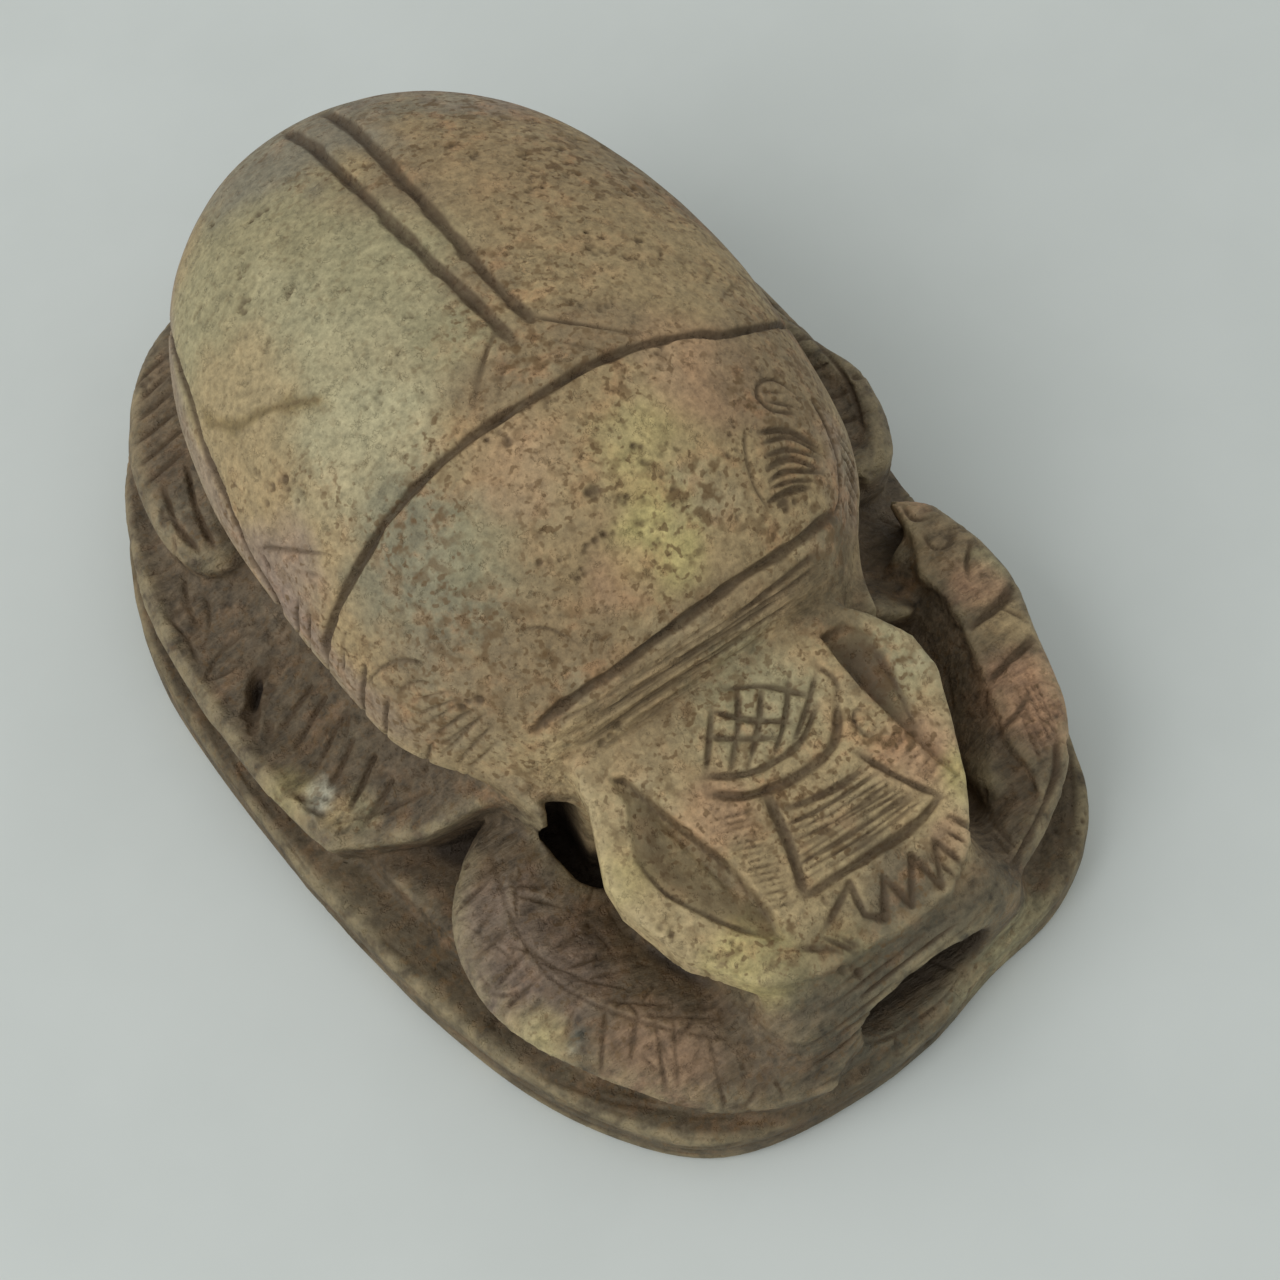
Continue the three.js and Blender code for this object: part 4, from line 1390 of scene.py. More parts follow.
    def at(self, points: np.ndarray, owners: list[np.ndarray], rough: Roughness) -> np.ndarray:
        """The stone's broad colour at each point, with painted shade in a few patches and in the sunk cheeks.

        Args:
            points: The places.
            owners: How much each place belongs to the back, the head, the legs and the base.
            rough: Lumps for the ragged edges.

        Returns:
            One colour, with alpha, for each place.
        """
        tones = (self.back, self.head, self.legs, self.plinth)
        colour = sum(w[:, None] * np.array(t.value) for w, t in zip(owners, tones))
        ragged = 0.6 * rough.at(points, 2.4) + 0.4 * rough.at(points + 50, 0.9)
        for patch in self.patches:
            colour = over(colour, patch.weight(points, ragged), patch.tone)
        rim = points[:, 2] - Back().rim_height(points[:, 1]) + 0.7 * ragged
        band = self.band_strength * owners[0] * (1 - ramp(rim, 1.8, 3.4)) * ramp(points[:, 1], -8.0, -2.0)
        side = ramp(points[:, 0], -4.0, 8.0)[:, None]
        band_tone = np.array(Tone.MAUVE.value) * (1 - side) + np.array(Tone.UMBER.value) * side
        colour = colour * (1 - band[:, None]) + band[:, None] * band_tone
        away = line_distance(points, np.array(self.stain)) + 0.3 * ragged
        colour = over(colour, self.stain_strength * (1 - ramp(away, 0.2, 0.5)), Tone.STAIN)
        cheeks = np.clip(HeadLines().sunk(points, Head()), 0, 1)
        colour = colour * (1 - self.cheek_shade * cheeks)[:, None]
        return np.column_stack([colour, np.ones(len(points))])


# ---------------------------------------------------------------------------------------------------------
# Shaders
# ---------------------------------------------------------------------------------------------------------


class Link:
    """A shader socket that can be used in sums."""

    def __init__(self, tree: "Tree", socket: bpy.types.NodeSocket) -> None:
        """Keep the socket and the tree that it belongs to."""
        self.tree = tree
        self.socket = socket

    def sum_of(self, operation: str, first: object, second: object) -> "Link":
        """A Math node on two values."""
        return self.tree.node("ShaderNodeMath", {"operation": operation}, {0: first, 1: second})

    def __add__(self, other: object) -> "Link":
        """This value plus another."""
        return self.sum_of("ADD", self, other)

    __radd__ = __add__

    def __sub__(self, other: object) -> "Link":
        """This value less another."""
        return self.sum_of("SUBTRACT", self, other)

    def __rsub__(self, other: object) -> "Link":
        """Another value less this one."""
        return self.sum_of("SUBTRACT", other, self)

    def __mul__(self, other: object) -> "Link":
        """This value times another."""
        return self.sum_of("MULTIPLY", self, other)

    __rmul__ = __mul__

    def __pow__(self, other: float) -> "Link":
        """This value to a power."""
        return self.sum_of("POWER", self, other)

    def at_least(self, other: object) -> "Link":
        """The larger of this value and another."""
        return self.sum_of("MAXIMUM", self, other)

    def rise(self, low: float, high: float, bottom: float = 0.0, top: float = 1.0) -> "Link":
        """A smooth rise from bottom to top as this value goes from low to high.

        Args:
            low: Where the rise starts.
            high: Where it ends.
            bottom: The value before it.
            top: The value after it.

        Returns:
            The value as a link.
        """
        settings = {"interpolation_type": "SMOOTHSTEP"}
        sockets = {"Value": self, "From Min": low, "From Max": high, "To Min": bottom, "To Max": top}
        return self.tree.node("ShaderNodeMapRange", settings, sockets)


class Tree:
    """A material's node tree, built from sums and one method for every other node."""

    def __init__(self, name: str) -> None:
        """Start an empty material."""
        self.material = bpy.data.materials.new(name)
        self.material.use_nodes = True
        self.nodes = self.material.node_tree.nodes
        self.nodes.clear()

    def node(self, kind: str, settings: dict[str, object], sockets: dict[object, object],
             output: object = 0) -> Link:
        """Add a node.

        Args:
            kind: The node's type.
            settings: The node's own settings, set first.
            sockets: A number, a colour or a link for each named or numbered input.
            output: Which output to give back.

        Returns:
            The output as a link.
        """
        made = self.nodes.new(kind)
        for name, value in settings.items():
            setattr(made, name, value)
        for name, value in sockets.items():
            if isinstance(value, Link):
                self.material.node_tree.links.new(value.socket, made.inputs[name])
            else:
                made.inputs[name].default_value = value
        return Link(self, made.outputs[output] if len(made.outputs) else None)

    def noise(self, place: Link, scale: float, detail: float = 3.0, roughness: float = 0.55) -> Link:
        """Soft noise in space, its values round one half."""
        sockets = {"Vector": place, "Scale": scale, "Detail": detail, "Roughness": roughness}
        return self.node("ShaderNodeTexNoise", {}, sockets, "Fac")

    def mixed(self, share: object, first: object, second: object) -> Link:
        """One colour going over into another."""
        settings = {"data_type": "RGBA", "clamp_factor": True}
        return self.node("ShaderNodeMix", settings, {0: share, 6: first, 7: second}, 2)

    def scaled(self, colour: Link, by: object) -> Link:
        """A colour made lighter or darker by a value."""
        return self.node("ShaderNodeVectorMath", {"operation": "SCALE"}, {0: colour, "Scale": by})

    def value_of(self, name: str) -> Link:
        """A number that the mesh carries at each point."""
        return self.node("ShaderNodeAttribute", {"attribute_name": name}, {}, "Fac")

    def colour_of(self, name: str) -> Link:
        """A colour that the mesh carries at each point."""
        return self.node("ShaderNodeAttribute", {"attribute_name": name}, {}, "Color")

    def finish(self, shader: Link) -> bpy.types.Material:
        """Join the shader to the output and give the material back."""
        self.node("ShaderNodeOutputMaterial", {}, {"Surface": shader})
        return self.material


@dataclass(frozen=True)
class StoneFinish:
    """Worn, pitted soapstone with dirt packed in its cuts, and dirt and painted shade in its hollows."""

    # Dirt in the cuts. In the hollows these two colours are dirt and painted shade, and the deepest go nearly
    # black.
    dirt_and_shade: Point = paint(70, 55, 38) + (1.0,)
    deep_dirt_and_shade: Point = paint(42, 33, 24) + (1.0,)
    speck: Point = paint(92, 70, 42) + (1.0,)
    warm: Point = paint(146, 106, 72) + (1.0,)
    cool: Point = paint(146, 141, 116) + (1.0,)
    worn: Point = paint(176, 162, 126) + (1.0,)
    scratch: Point = (0.45, 1.7, 1.5)
    scratch_shade: float = 2.0
    scratch_height: float = 2.4
    dirt_and_shade_cover: float = 0.86
    roughness: float = 0.6
    grain_height: float = 0.00017

    def colour(self, tree: Tree, place: Link) -> Link:
        """The stone's colour: broad tones, mottling, specks, dirt in the cuts, dirt and painted shade in the
        hollows, and worn edges.

        Args:
            tree: The material's node tree.
            place: The place on the stone, in millimetres.

        Returns:
            The colour as a link.
        """
        cloud = tree.noise(place, 0.24, 3.0)
        mottle = tree.noise(place, 0.75, 4.0, 0.6)
        grain = tree.noise(place, 2.3, 4.0, 0.7)
        crowding = tree.value_of("speckling")
        colour = tree.colour_of("tint")
        colour = tree.mixed(mottle.rise(0.48, 0.66, 0.0, 0.5) * crowding, colour, self.warm)
        colour = tree.mixed(cloud.rise(0.5, 0.7, 0.0, 0.3) * crowding, colour, self.cool)
        streak = (self.streaks(tree, place) - 0.5) * tree.value_of("tooled")
        shade = -0.32 + 0.36 * cloud + 0.72 * mottle + 1.56 * grain + self.scratch_shade * streak
        colour = tree.scaled(colour, shade)
        blotch = tree.noise(place, 1.3, 2.0, 0.5).rise(0.5, 0.66) * crowding
        colour = tree.mixed(blotch * 0.8, colour, self.speck)
        speckle = tree.noise(place, 2.5, 1.5, 0.5).rise(0.57, 0.68) * crowding.rise(0.0, 0.6, 0.3, 1.0)
        colour = tree.mixed(speckle * 0.72, colour, self.speck)
        edge = tree.value_of("edge")
        colour = tree.mixed(edge * mottle.rise(0.3, 0.62) * 0.4, colour, self.worn)
        cut = tree.value_of("cut")
        # Cuts are packed with dirt. Hollows are darkened with dirt and painted shade, and the deepest go
        # nearly black.
        hollow = tree.value_of("hollow")
        packed = cut.rise(-0.02, 0.2) * grain.rise(0.3, 0.6, 0.65, 1.0)
        dirt_and_shade_share = packed.at_least(hollow.rise(0.0, 1.0, 0.0, 0.75))
        colour = tree.mixed(dirt_and_shade_share * self.dirt_and_shade_cover, colour, self.dirt_and_shade)
        deep = cut.rise(0.2, 0.9).at_least(hollow.rise(0.8, 1.05))
        return tree.mixed(deep, colour, self.deep_dirt_and_shade)

    def streaks(self, tree: Tree, place: Link) -> Link:
        """Fine tool scratches that run outwards across the stone."""
        drawn = tree.node("ShaderNodeVectorMath", {"operation": "MULTIPLY"}, {0: place, 1: self.scratch})
        return tree.noise(drawn, 1.15, 4.0, 0.6)

    def bump(self, tree: Tree, place: Link) -> Link:
        """Fine grain, small pits, and scratches where the stone was left rough.

        Args:
            tree: The material's node tree.
            place: The place on the stone, in millimetres.

        Returns:
            The bent normal as a link.
        """
        grain = tree.noise(place, 2.3, 5.0, 0.65)
        pits = tree.noise(place, 1.5, 5.0, 0.68).rise(0.56, 0.66)
        scratches = self.streaks(tree, place) * tree.value_of("tooled")
        height = grain * 0.6 - pits * 0.5 + scratches * self.scratch_height
        sockets = {"Strength": 0.75, "Distance": self.grain_height, "Height": height}
        return tree.node("ShaderNodeBump", {}, sockets)

    def make(self) -> bpy.types.Material:
        """The stone as a material.

        Returns:
            The material.
        """
        tree = Tree("worn_stone")
        spot = tree.node("ShaderNodeTexCoord", {}, {}, "Object")
        place = tree.node("ShaderNodeVectorMath", {"operation": "SCALE"}, {0: spot, "Scale": 1 / METRES})
        gloss = self.roughness + 0.25 * tree.noise(place, 1.7, 2.0) - 0.06
        sockets = {"Base Color": self.colour(tree, place), "Roughness": gloss,
                   "Normal": self.bump(tree, place), "IOR": 1.5, "Specular IOR Level": 0.35}
        return tree.finish(tree.node("ShaderNodeBsdfPrincipled", {}, sockets))


@dataclass(frozen=True)
class FloorFinish:
    """A plain pale board, very faintly uneven."""

    colour: Point = (0.70, 0.735, 0.715, 1.0)
    shade: Point = (0.675, 0.71, 0.69, 1.0)
    roughness: float = 0.75

    def make(self) -> bpy.types.Material:
        """The floor as a material.

        Returns:
            The material.
        """
        tree = Tree("pale_board")
        spot = tree.node("ShaderNodeTexCoord", {}, {}, "Object")
        cloud = tree.noise(spot, 60.0, 4.0)
        colour = tree.mixed(cloud.rise(0.35, 0.65), self.colour, self.shade)
        sockets = {"Base Color": colour, "Roughness": self.roughness, "Specular IOR Level": 0.2}
        return tree.finish(tree.node("ShaderNodeBsdfPrincipled", {}, sockets))


# ---------------------------------------------------------------------------------------------------------
# The amulet
# ---------------------------------------------------------------------------------------------------------


def mesh_of(name: str, points: np.ndarray, faces: np.ndarray) -> bpy.types.Mesh:
    """A mesh from arrays of points and of faces that all have the same number of corners.

    Args:
        name: The mesh's name.
        points: The points.
        faces: The points of each face.

    Returns:
        The mesh.
    """
    mesh = bpy.data.meshes.new(name)
    mesh.vertices.add(len(points))
    mesh.vertices.foreach_set("co", np.asarray(points, np.float32).ravel())
    mesh.loops.add(faces.size)
    mesh.loops.foreach_set("vertex_index", np.asarray(faces, np.int32).ravel())
    mesh.polygons.add(len(faces))
    mesh.polygons.foreach_set("loop_start", np.arange(0, faces.size, faces.shape[1], dtype=np.int32))
    mesh.update(calc_edges=True)
    return mesh


def points_of(mesh: bpy.types.Mesh) -> np.ndarray:
    """A mesh's points as an array.

    Args:
        mesh: The mesh.

    Returns:
        One row of three numbers for each point.
    """
    points = np.zeros(len(mesh.vertices) * 3, np.float32)
    mesh.vertices.foreach_get("co", points)
    return points.reshape(-1, 3).astype(float)


def set_points(mesh: bpy.types.Mesh, points: np.ndarray) -> None:
    """Put a mesh's points in new places, what would lie below the ground on the ground."""
    points[:, 2] = np.maximum(points[:, 2], 0.0)
    mesh.vertices.foreach_set("co", points.astype(np.float32).ravel())


def with_modifier(piece: bpy.types.Object, kind: str, settings: dict[str, object]) -> None:
    """Add a modifier to a piece and apply it.

    Args:
        piece: The object.
        kind: The modifier's type.
        settings: The modifier's settings.
    """
    made = piece.modifiers.new(kind.lower(), kind)
    for name, value in settings.items():
        setattr(made, name, value)
    graph = bpy.context.evaluated_depsgraph_get()
    old = piece.data
    mesh = bpy.data.meshes.new_from_object(piece.evaluated_get(graph), preserve_all_data_layers=True,
                                           depsgraph=graph)
    piece.modifiers.clear()
    piece.data = mesh
    bpy.data.meshes.remove(old)


@dataclass
class Scarab:
    """The whole amulet, one carved stone."""

    block: Block = field(default_factory=Block)
    plinth: Plinth = field(default_factory=Plinth)
    back: Back = field(default_factory=Back)
    head: Head = field(default_factory=Head)
    slope: FrontSlope = field(default_factory=FrontSlope)
    bore: Bore = field(default_factory=Bore)
    rough: Roughness = field(default_factory=lambda: Roughness(SEED))
    bed_height: float = 3.9
    bed_inset: float = 3.0
    pocket: tuple[Point, ...] = (
        (-9.9, -9.3), (-7.0, -9.5), (-6.7, -12.0), (-7.6, -14.8), (-9.1, -13.7), (-9.5, -11.6))
    pocket_floor: float = 3.5
    pocket_top: float = 12.0
    leg_marks: int = 520
    rim_marks: int = 240
    pit_count: int = 150
    pit_bites: int = 5
    pit_groups: tuple[tuple[Point, float, int], ...] = (
        ((-12.2, 6.3, 20.1), 0.3, 3), ((-7.4, 19.2, 20.8), 0.3, 2), ((-17.1, 5.0, 7.1), 0.4, 4),
        ((7.5, 15.0, 21.0), 3.4, 26), ((6.0, 6.0, 24.0), 2.4, 12), ((3.5, -3.5, 23.0), 2.8, 20),
        ((-5.5, -5.0, 21.5), 2.2, 10), ((-9.0, 10.0, 21.5), 4.0, 8))
    lift: float = 0.15
    edge_reach: float = 1.0
    hollow_reach: float = 2.6
    parts: dict[str, np.ndarray] = field(default_factory=dict)

    def limbs(self) -> list[Limb]:
        """The legs and the slopes beside the right foreleg, each with its own outline and heights.

        Returns:
            The legs and slopes, in the order in which they are joined.
        """
        return [
            # Left middle leg
            Limb(((0.0, 28.9), (-5.0, 28.4), (-9.5, 26.7), (-13.4, 24.1), (-16.3, 20.9), (-18.5, 16.8),
                  (-19.7, 11.9), (-20.05, 8.3), (-20.1, 2.9), (-19.6, -1.4), (-18.85, -4.9)),
                 ((-14.55, -7.9), (-10.0, -9.6), (0.0, -8.0)),
                 (0.0, 0.5, 1.3, 3.0, 5.0, 8.0), (6.1, 6.6, 6.5, 6.9, 7.9, 10.0)),
            # Right middle leg
            Limb(((0.0, 28.9), (5.0, 28.4), (9.8, 26.8), (13.9, 24.0), (16.5, 20.8), (18.4, 16.6),
                  (19.5, 12.0), (19.8, 8.0), (20.1, 3.4), (19.7, -0.6), (19.0, -2.4), (17.4, -3.9)),
                 ((12.0, -4.4), (0.0, -5.0)),
                 (0.0, 0.5, 1.3, 3.0, 5.0, 8.0), (6.5, 7.0, 6.9, 7.4, 8.4, 10.2)),
            # Recess between the right middle leg and the right foreleg
            Limb(((19.5, -0.5), (19.4, -3.3), (19.35, -4.8), (18.2, -8.2)),
                 ((14.0, -11.0), (10.0, -10.0), (10.0, -1.0)),
                 (0.0, 2.0, 4.0, 6.0), (4.0, 4.5, 5.6, 7.0), 0.2),
            # Left hind leg
            Limb(((-4.0, 27.8), (-10.0, 26.3), (-13.8, 23.55), (-16.3, 19.4), (-17.2, 14.9), (-16.6, 12.0),
                  (-15.3, 10.9), (-13.4, 11.0)),
                 ((-9.0, 12.0), (-7.0, 20.0), (-2.0, 25.0)),
                 (0.0, 0.5, 3.0, 5.0), (9.0, 9.6, 10.3, 10.9), 0.5),
            # Right hind leg
            Limb(((4.7, 27.6), (10.4, 26.0), (14.0, 23.2), (16.4, 19.0), (17.7, 13.6), (18.5, 8.6),
                  (19.3, 4.6), (20.05, 1.8), (19.6, -0.8), (18.9, -2.4), (17.8, -3.7), (16.2, -4.0)),
                 ((13.4, -2.0), (11.0, 6.0), (9.7, 12.0), (7.7, 20.0), (2.7, 25.0)),
                 (0.0, 0.5, 1.1, 1.9, 3.2, 5.0), (8.5, 9.1, 9.2, 8.6, 8.8, 9.8), 0.5),
            # Left foreleg
            Limb(((-12.2, -8.6), (-14.5, -10.2), (-16.3, -12.8), (-16.9, -16.2), (-15.9, -20.2),
                  (-13.5, -24.0), (-10.8, -27.0), (-8.0, -28.8), (-4.6, -29.8)),
                 ((-2.0, -27.0), (-4.0, -23.0), (-5.6, -18.0), (-7.6, -15.2), (-8.9, -14.0), (-9.5, -11.6),
                  (-8.9, -8.6)),
                 (0.0, 0.5, 1.2, 3.0, 5.0, 7.0, 9.0), (6.2, 6.8, 7.1, 7.5, 6.9, 6.0, 5.4), 1.1, 0.4, 1.5),
            # Right foreleg
            Limb(((17.0, -5.0), (18.5, -6.2), (19.2, -7.9), (19.7, -9.6), (19.7, -12.0), (18.8, -15.5),
                  (17.8, -18.8), (16.6, -21.2), (15.2, -23.0), (13.2, -24.5), (11.0, -25.6), (9.1, -26.35),
                  (7.4, -27.0)),
                 ((7.2, -26.3), (9.0, -25.75), (10.8, -25.0), (12.5, -24.0), (13.0, -22.4), (12.9, -20.5),
                  (13.3, -19.5), (14.1, -17.1), (15.4, -13.4), (15.6, -11.6), (15.3, -9.8), (16.3, -8.0),
                  (16.7, -6.4)),
                 (0.0, 0.5, 1.2, 2.6, 4.5), (6.6, 7.1, 7.3, 7.45, 7.2), 0.8, 0.35, 0.9, 22.0, 27.5),
            # Slope between the right foreleg and the head
            Limb(((17.6, -6.8), (18.4, -10.0), (18.2, -13.0), (16.6, -17.5), (15.0, -20.6), (13.4, -22.4)),
                 ((10.4, -22.6), (10.8, -20.0), (11.6, -17.0), (12.2, -14.0), (12.0, -9.0)),
                 (0.0, 2.4, 3.2, 4.2, 5.6), (6.8, 6.8, 6.1, 4.9, 4.3), 0.0, 0.5),
            # Front end of that slope
            Limb(((16.0, -19.0), (15.0, -21.4), (13.2, -23.6), (11.2, -24.9), (8.6, -25.8)),
                 ((7.6, -24.4), (10.0, -21.0), (12.0, -18.0)),
                 (0.0, 1.4, 2.3, 3.2, 4.5), (6.6, 6.5, 5.9, 4.9, 4.4), 0.0, 0.5),
        ]

    def form(self) -> np.ndarray:
        """The whole form as one field, its parts kept by name.

        The bed and the legs have no lower end, so the form runs on below the ground and out of the block,
        and its skin is open there: the stone has no underside.

        Returns:
            The field of distances.
        """
        block = self.block
        self.parts["plinth"] = self.plinth.shape(block)
        bed = block.inside_outline(self.plinth.outline(self.bed_inset))
        limbs = common(bed, block.z - self.bed_height, 0.5)
        for limb in self.limbs():
            limbs = joined(limbs, limb.shape(block), 0.45)
        limbs = joined(limbs, self.back.flanks(block), 0.6)
        self.parts["legs"] = joined(limbs, self.slope.shape(block, self.plinth.outline()), 1.2)
        self.parts["head"] = self.head.shape(block)
        self.parts["back"] = self.back.shape(block)
        pocket = np.maximum(block.inside_outline(np.array(self.pocket)), self.pocket_floor - block.z)
        body = joined(self.parts["plinth"], self.parts["legs"], 0.35)
        body = carved(body, np.maximum(pocket, block.z - self.pocket_top), 0.6)
        body = joined(body, self.parts["head"], 0.6)
        body = joined(body, self.parts["back"], 0.7)
        body = carved(body, self.bore.shape(block), 0.6)
        return body + self.waves(body)

    def waves(self, body: np.ndarray) -> np.ndarray:
        """The unevenness of hand carving: slight on the polished back, more on the legs, none underneath.

        Args:
            body: The field of the whole form.

        Returns:
            What is added to the field at each grid point.
        """
        places = self.block.places()
        near = np.abs(body) < 1.2
        spots = places[near]
        polish = ramp(spots[:, 2], 11.5, 15.0)
        size = 0.11 * (1 - polish) + 0.035 * polish
        lumps = self.rough.at(spots, 3.4) + 0.45 * self.rough.at(spots + 20, 1.5)
        broad = 0.09 * self.rough.at(spots + 70, 8.0)
        out = np.zeros_like(body)
        out[near] = (size * lumps + broad) * ramp(spots[:, 2], 0.25, 0.9)
        return out

    def cuts(self, graver: Graver) -> np.ndarray:
        """How deep every cut, pit and chip goes at each of the graver's points.

        Args:
            graver: The graver, with the points that it can cut.

        Returns:
            One depth for each point.
        """
        depth = graver.strokes(BackLines().strokes() + HeadLines().strokes() + LegLines().strokes())
        depth += HeadLines().sunk(graver.points, self.head)
        depth = np.maximum(depth, graver.strokes(self.tool_marks(graver)))
        return np.maximum(depth, self.pitting(graver))

    def tool_marks(self, graver: Graver) -> list[Stroke]:
        """Short rough strokes over the legs, the slope and the base, where nothing was smoothed.

        Args:
            graver: The graver, with the points that it can cut.

        Returns:
            The strokes.
        """
        draw = np.random.default_rng(SEED + 90)
        low = graver.points[(graver.points[:, 2] > 3.2) & (graver.points[:, 2] < 8.4)]
        marks = []
        for spot in low[draw.integers(0, len(low), self.leg_marks)]:
            outward = spot * (1.0, 0.55, 0.0)
            outward /= np.linalg.norm(outward) + 1e-6
            across = np.array([-outward[1], outward[0], 0.0])
            lean = draw.normal(0, 0.5)
            run = (outward * math.cos(lean) + across * math.sin(lean)) * draw.uniform(0.5, 1.5)
            marks.append(Stroke((tuple(spot - run), tuple(spot + run)), draw.uniform(0.28, 0.45),
                                draw.uniform(0.06, 0.18)))
        rim = graver.points[(graver.points[:, 2] > 0.5) & (graver.points[:, 2] < 3.2)]
        for spot in rim[draw.integers(0, len(rim), self.rim_marks)]:
            along = np.array([-spot[1] * 0.5, spot[0], 0.0])
            along /= np.linalg.norm(along) + 1e-6
            run = along * draw.uniform(0.8, 2.8) + (0, 0, draw.normal(0, 0.15))
            marks.append(Stroke((tuple(spot - run), tuple(spot + run)), draw.uniform(0.25, 0.4),
                                draw.uniform(0.04, 0.1)))
        return marks

    def pitting(self, graver: Graver) -> np.ndarray:
        """Small ragged pits strewn over the stone, each of a few overlapping bites.

        Args:
            graver: The graver, with the points that it can cut.

        Returns:
            One depth for each point.
        """
        draw = np.random.default_rng(SEED + 7)
        above = graver.points[graver.points[:, 2] > 1.0]
        seeds = above[draw.integers(0, len(above), self.pit_count)]
        groups = [np.array(centre) + draw.normal(0, spread, (count, 3))
                  for centre, spread, count in self.pit_groups]
        named = graver.surface.onto(np.vstack(groups), rounds=5)
        reach = np.concatenate([draw.uniform(0.12, 0.3, len(seeds)), draw.uniform(0.13, 0.24, len(named))])
        seeds = np.repeat(np.vstack([seeds, named]), self.pit_bites, axis=0)
        reach = np.repeat(reach, self.pit_bites)
        strayed = seeds + draw.normal(0, 1, seeds.shape) * reach[:, None] * np.array((1.5, 0.8, 0.8))
        centres = graver.surface.onto(strayed, rounds=3)
        radii = reach * draw.uniform(0.7, 1.3, len(reach))
        return graver.pits(centres, radii, radii * draw.uniform(0.4, 0.8, len(radii)))

    def build(self) -> bpy.types.Object:
        """Carve the stone, thin its mesh and give it its colours.

        Returns:
            The finished piece, in metres.
        """
        surface = Surface(self.block, self.form())
        points, faces = self.block.skin(surface.body)
        LOG.info("skin: %d points, %d faces", len(points), len(faces))
        piece = bpy.data.objects.new("scarab_stone", mesh_of("scarab_stone", points, faces))
        bpy.context.scene.collection.objects.link(piece)
        with_modifier(piece, "SUBSURF", {"levels": 1, "render_levels": 1})
        points = surface.onto(points_of(piece.data))
        graver = Graver(surface, points, self.rough)
        depth = self.cuts(graver) * ramp(points[:, 2], 0.05, 0.5)
        normal, _ = surface.normals(points)
        set_points(piece.data, points - normal * depth[:, None])
        piece.data.update()
        self.thin(piece)
        self.dress(piece, surface)
        piece.data.transform(Matrix.Scale(METRES, 4))
        return piece

    def thin(self, piece: bpy.types.Object) -> None:
        """Bring the mesh within its budget of triangles, and keep it on or above the ground.

        Args:
            piece: The object.
        """
        triangles = 2 * len(piece.data.polygons)
        settings = {"ratio": TRIANGLE_BUDGET / triangles, "use_collapse_triangulate": True}
        with_modifier(piece, "DECIMATE", settings)
        set_points(piece.data, points_of(piece.data))
        LOG.info("thinned from %d to %d triangles", triangles, len(piece.data.polygons))

    def dress(self, piece: bpy.types.Object, surface: Surface) -> None:
        """Give each point its broad colour and how cut, hollow or exposed it is, and the stone its finish.
        The hollow mask darkens the stone with dirt and painted shade.

        Args:
            piece: The stone, thinned and still in millimetres.
            surface: The form before it was cut.
        """
        points = points_of(piece.data)
        normal, _ = surface.normals(points)
        cut = np.clip(-surface.distance(points) - 0.85 * HeadLines().sunk(points, self.head), 0.0, 2.0)
        solid = np.clip(0.5 - surface.body / (2 * CELL), 0.0, 1.0)
        lifted = points + normal * self.lift
        close, wide = (self.block.sample(self.block.blurred(solid, reach), lifted)
                       for reach in (self.edge_reach, self.hollow_reach))
        # How hollow each point lies, from how much stone is round it. The finish darkens hollows with dirt
        # and painted shade.
        hollow = np.clip((wide - 0.52) / 0.22, 0.0, 1.0)
        # Inside the bore near its front mouth counts as deeply hollow: painted shade in the tunnel.
        in_bore = (1 - ramp(self.block.sample(self.bore.shape(self.block), points), 0.1, 0.5))
        hollow = np.maximum(hollow, in_bore * ramp(points[:, 1], -29.3, -27.6) * 0.95)
        edge = np.clip((0.40 - close) / 0.14, 0.0, 1.0)
        fields = [self.block.sample(self.parts[name], points) for name in ("back", "head", "legs", "plinth")]
        weights = [np.exp(-np.clip(f, -3, 9) / 0.5) for f in fields]
        total = sum(weights)
        owners = [w / total for w in weights]
        steep = ramp(-points[:, 1], 10.1, 10.7)
        polish = owners[0] * (1 - steep) + owners[1]
        tooled = owners[2] + owners[0] * steep + 0.3 * owners[3]
        tint = Colouring().at(points, owners, self.rough)
        speckling = Colouring().speckling(points, polish, self.rough)
        named = {"cut": cut, "hollow": hollow, "edge": edge, "speckling": speckling, "tooled": tooled}
        for name, values in named.items():
            made = piece.data.attributes.new(name, "FLOAT", "POINT")
            made.data.foreach_set("value", values.astype(np.float32))
        made = piece.data.attributes.new("tint", "FLOAT_COLOR", "POINT")
        made.data.foreach_set("color", tint.astype(np.float32).ravel())
        piece.data.materials.clear()
        piece.data.materials.append(StoneFinish().make())
        piece.data.polygons.foreach_set("use_smooth", np.ones(len(piece.data.polygons), bool))
        piece.data.update()


# ---------------------------------------------------------------------------------------------------------
# The studio
# ---------------------------------------------------------------------------------------------------------


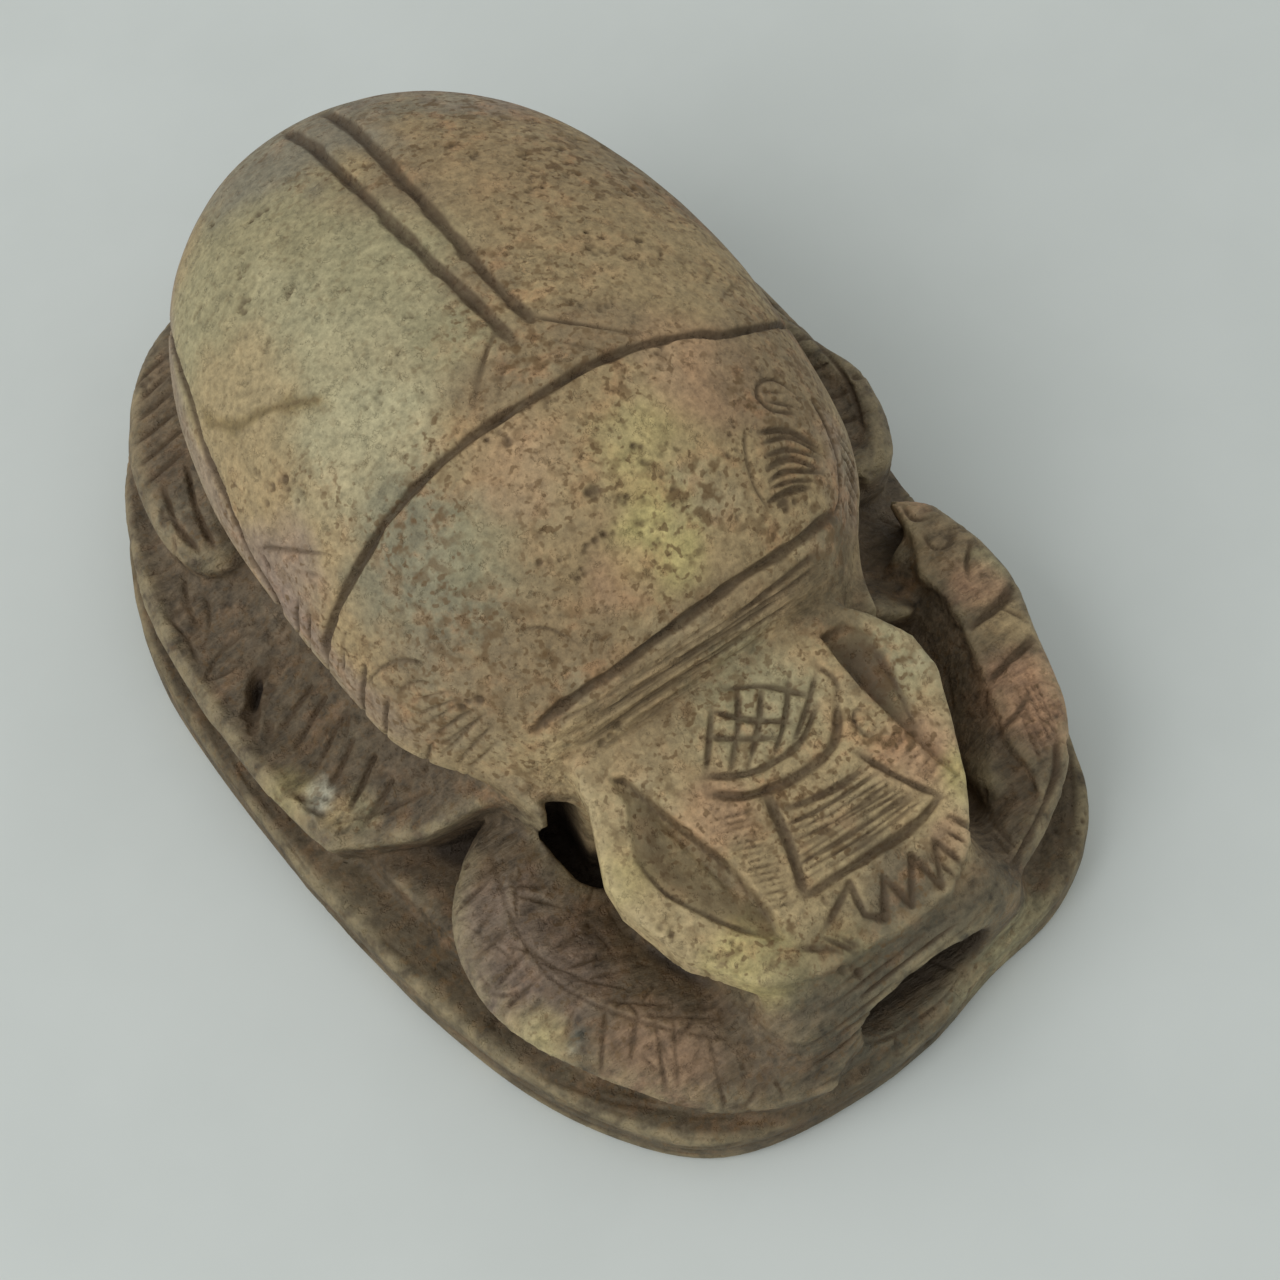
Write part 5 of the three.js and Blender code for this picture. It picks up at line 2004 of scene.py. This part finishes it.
@dataclass(frozen=True)
class Studio:
    """A plain pale floor, soft light from the left, and the camera."""

    aim: Point = (0.348, -5.356, 9.0)
    distance: float = 152.11
    azimuth: float = -31.743
    elevation: float = 61.533
    roll: float = -2.8745
    lens: float = 81.96
    floor_size: float = 2.4
    sky: Point = (0.97, 1.0, 0.985, 1.0)
    sky_strength: float = 0.57
    key_place: Point = (-0.46, 0.02, 0.386)
    key_size: float = 0.5
    key_power: float = 1.35

    def camera(self) -> None:
        """Put the camera in place and make it the scene's own."""
        turn, rise = math.radians(self.azimuth), math.radians(self.elevation)
        back = Vector((math.sin(turn) * math.cos(rise), -math.cos(turn) * math.cos(rise), math.sin(rise)))
        data = bpy.data.cameras.new("camera")
        data.sensor_width = 36.0
        data.lens = self.lens
        data.clip_start = 0.01
        data.clip_end = 20.0
        made = bpy.data.objects.new("camera", data)
        bpy.context.scene.collection.objects.link(made)
        level = (-back).to_track_quat("-Z", "Y").to_matrix()
        tilted = level @ Matrix.Rotation(math.radians(self.roll), 3, "Z")
        made.rotation_mode = "QUATERNION"
        made.rotation_quaternion = tilted.to_quaternion()
        made.location = (Vector(self.aim) + back * self.distance) * METRES
        bpy.context.scene.camera = made

    def floor(self) -> None:
        """Lay the floor."""
        half = self.floor_size / 2
        points = np.array([(-half, -half, 0), (half, -half, 0), (half, half, 0), (-half, half, 0)])
        made = bpy.data.objects.new("floor", mesh_of("floor", points, np.array([[0, 1, 2, 3]])))
        made.data.materials.append(FloorFinish().make())
        bpy.context.scene.collection.objects.link(made)

    def light(self) -> None:
        """Set the soft key light and the even light from all round."""
        data = bpy.data.lights.new("key", "AREA")
        data.shape = "DISK"
        data.size = self.key_size
        data.energy = self.key_power
        made = bpy.data.objects.new("key", data)
        made.location = self.key_place
        made.rotation_mode = "QUATERNION"
        made.rotation_quaternion = (-Vector(self.key_place)).to_track_quat("-Z", "Y")
        bpy.context.scene.collection.objects.link(made)
        world = bpy.data.worlds.new("sky")
        world.use_nodes = True
        background = world.node_tree.nodes["Background"]
        background.inputs["Color"].default_value = self.sky
        background.inputs["Strength"].default_value = self.sky_strength
        bpy.context.scene.world = world
        bpy.context.scene.view_settings.view_transform = "Standard"

    def set_up(self) -> None:
        """Camera, floor and lights."""
        self.camera()
        self.floor()
        self.light()


def main() -> None:
    """Build the studio and the amulet, and attach the amulet to the root body."""
    logging.basicConfig(level=logging.INFO, format="%(name)s: %(message)s")
    Studio().set_up()
    stone = Scarab().build()
    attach(stone, "root")
    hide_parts("scarab")
    LOG.info("piece %s: %d triangles", stone.name, len(stone.data.polygons))


if __name__ == "__main__":
    main()
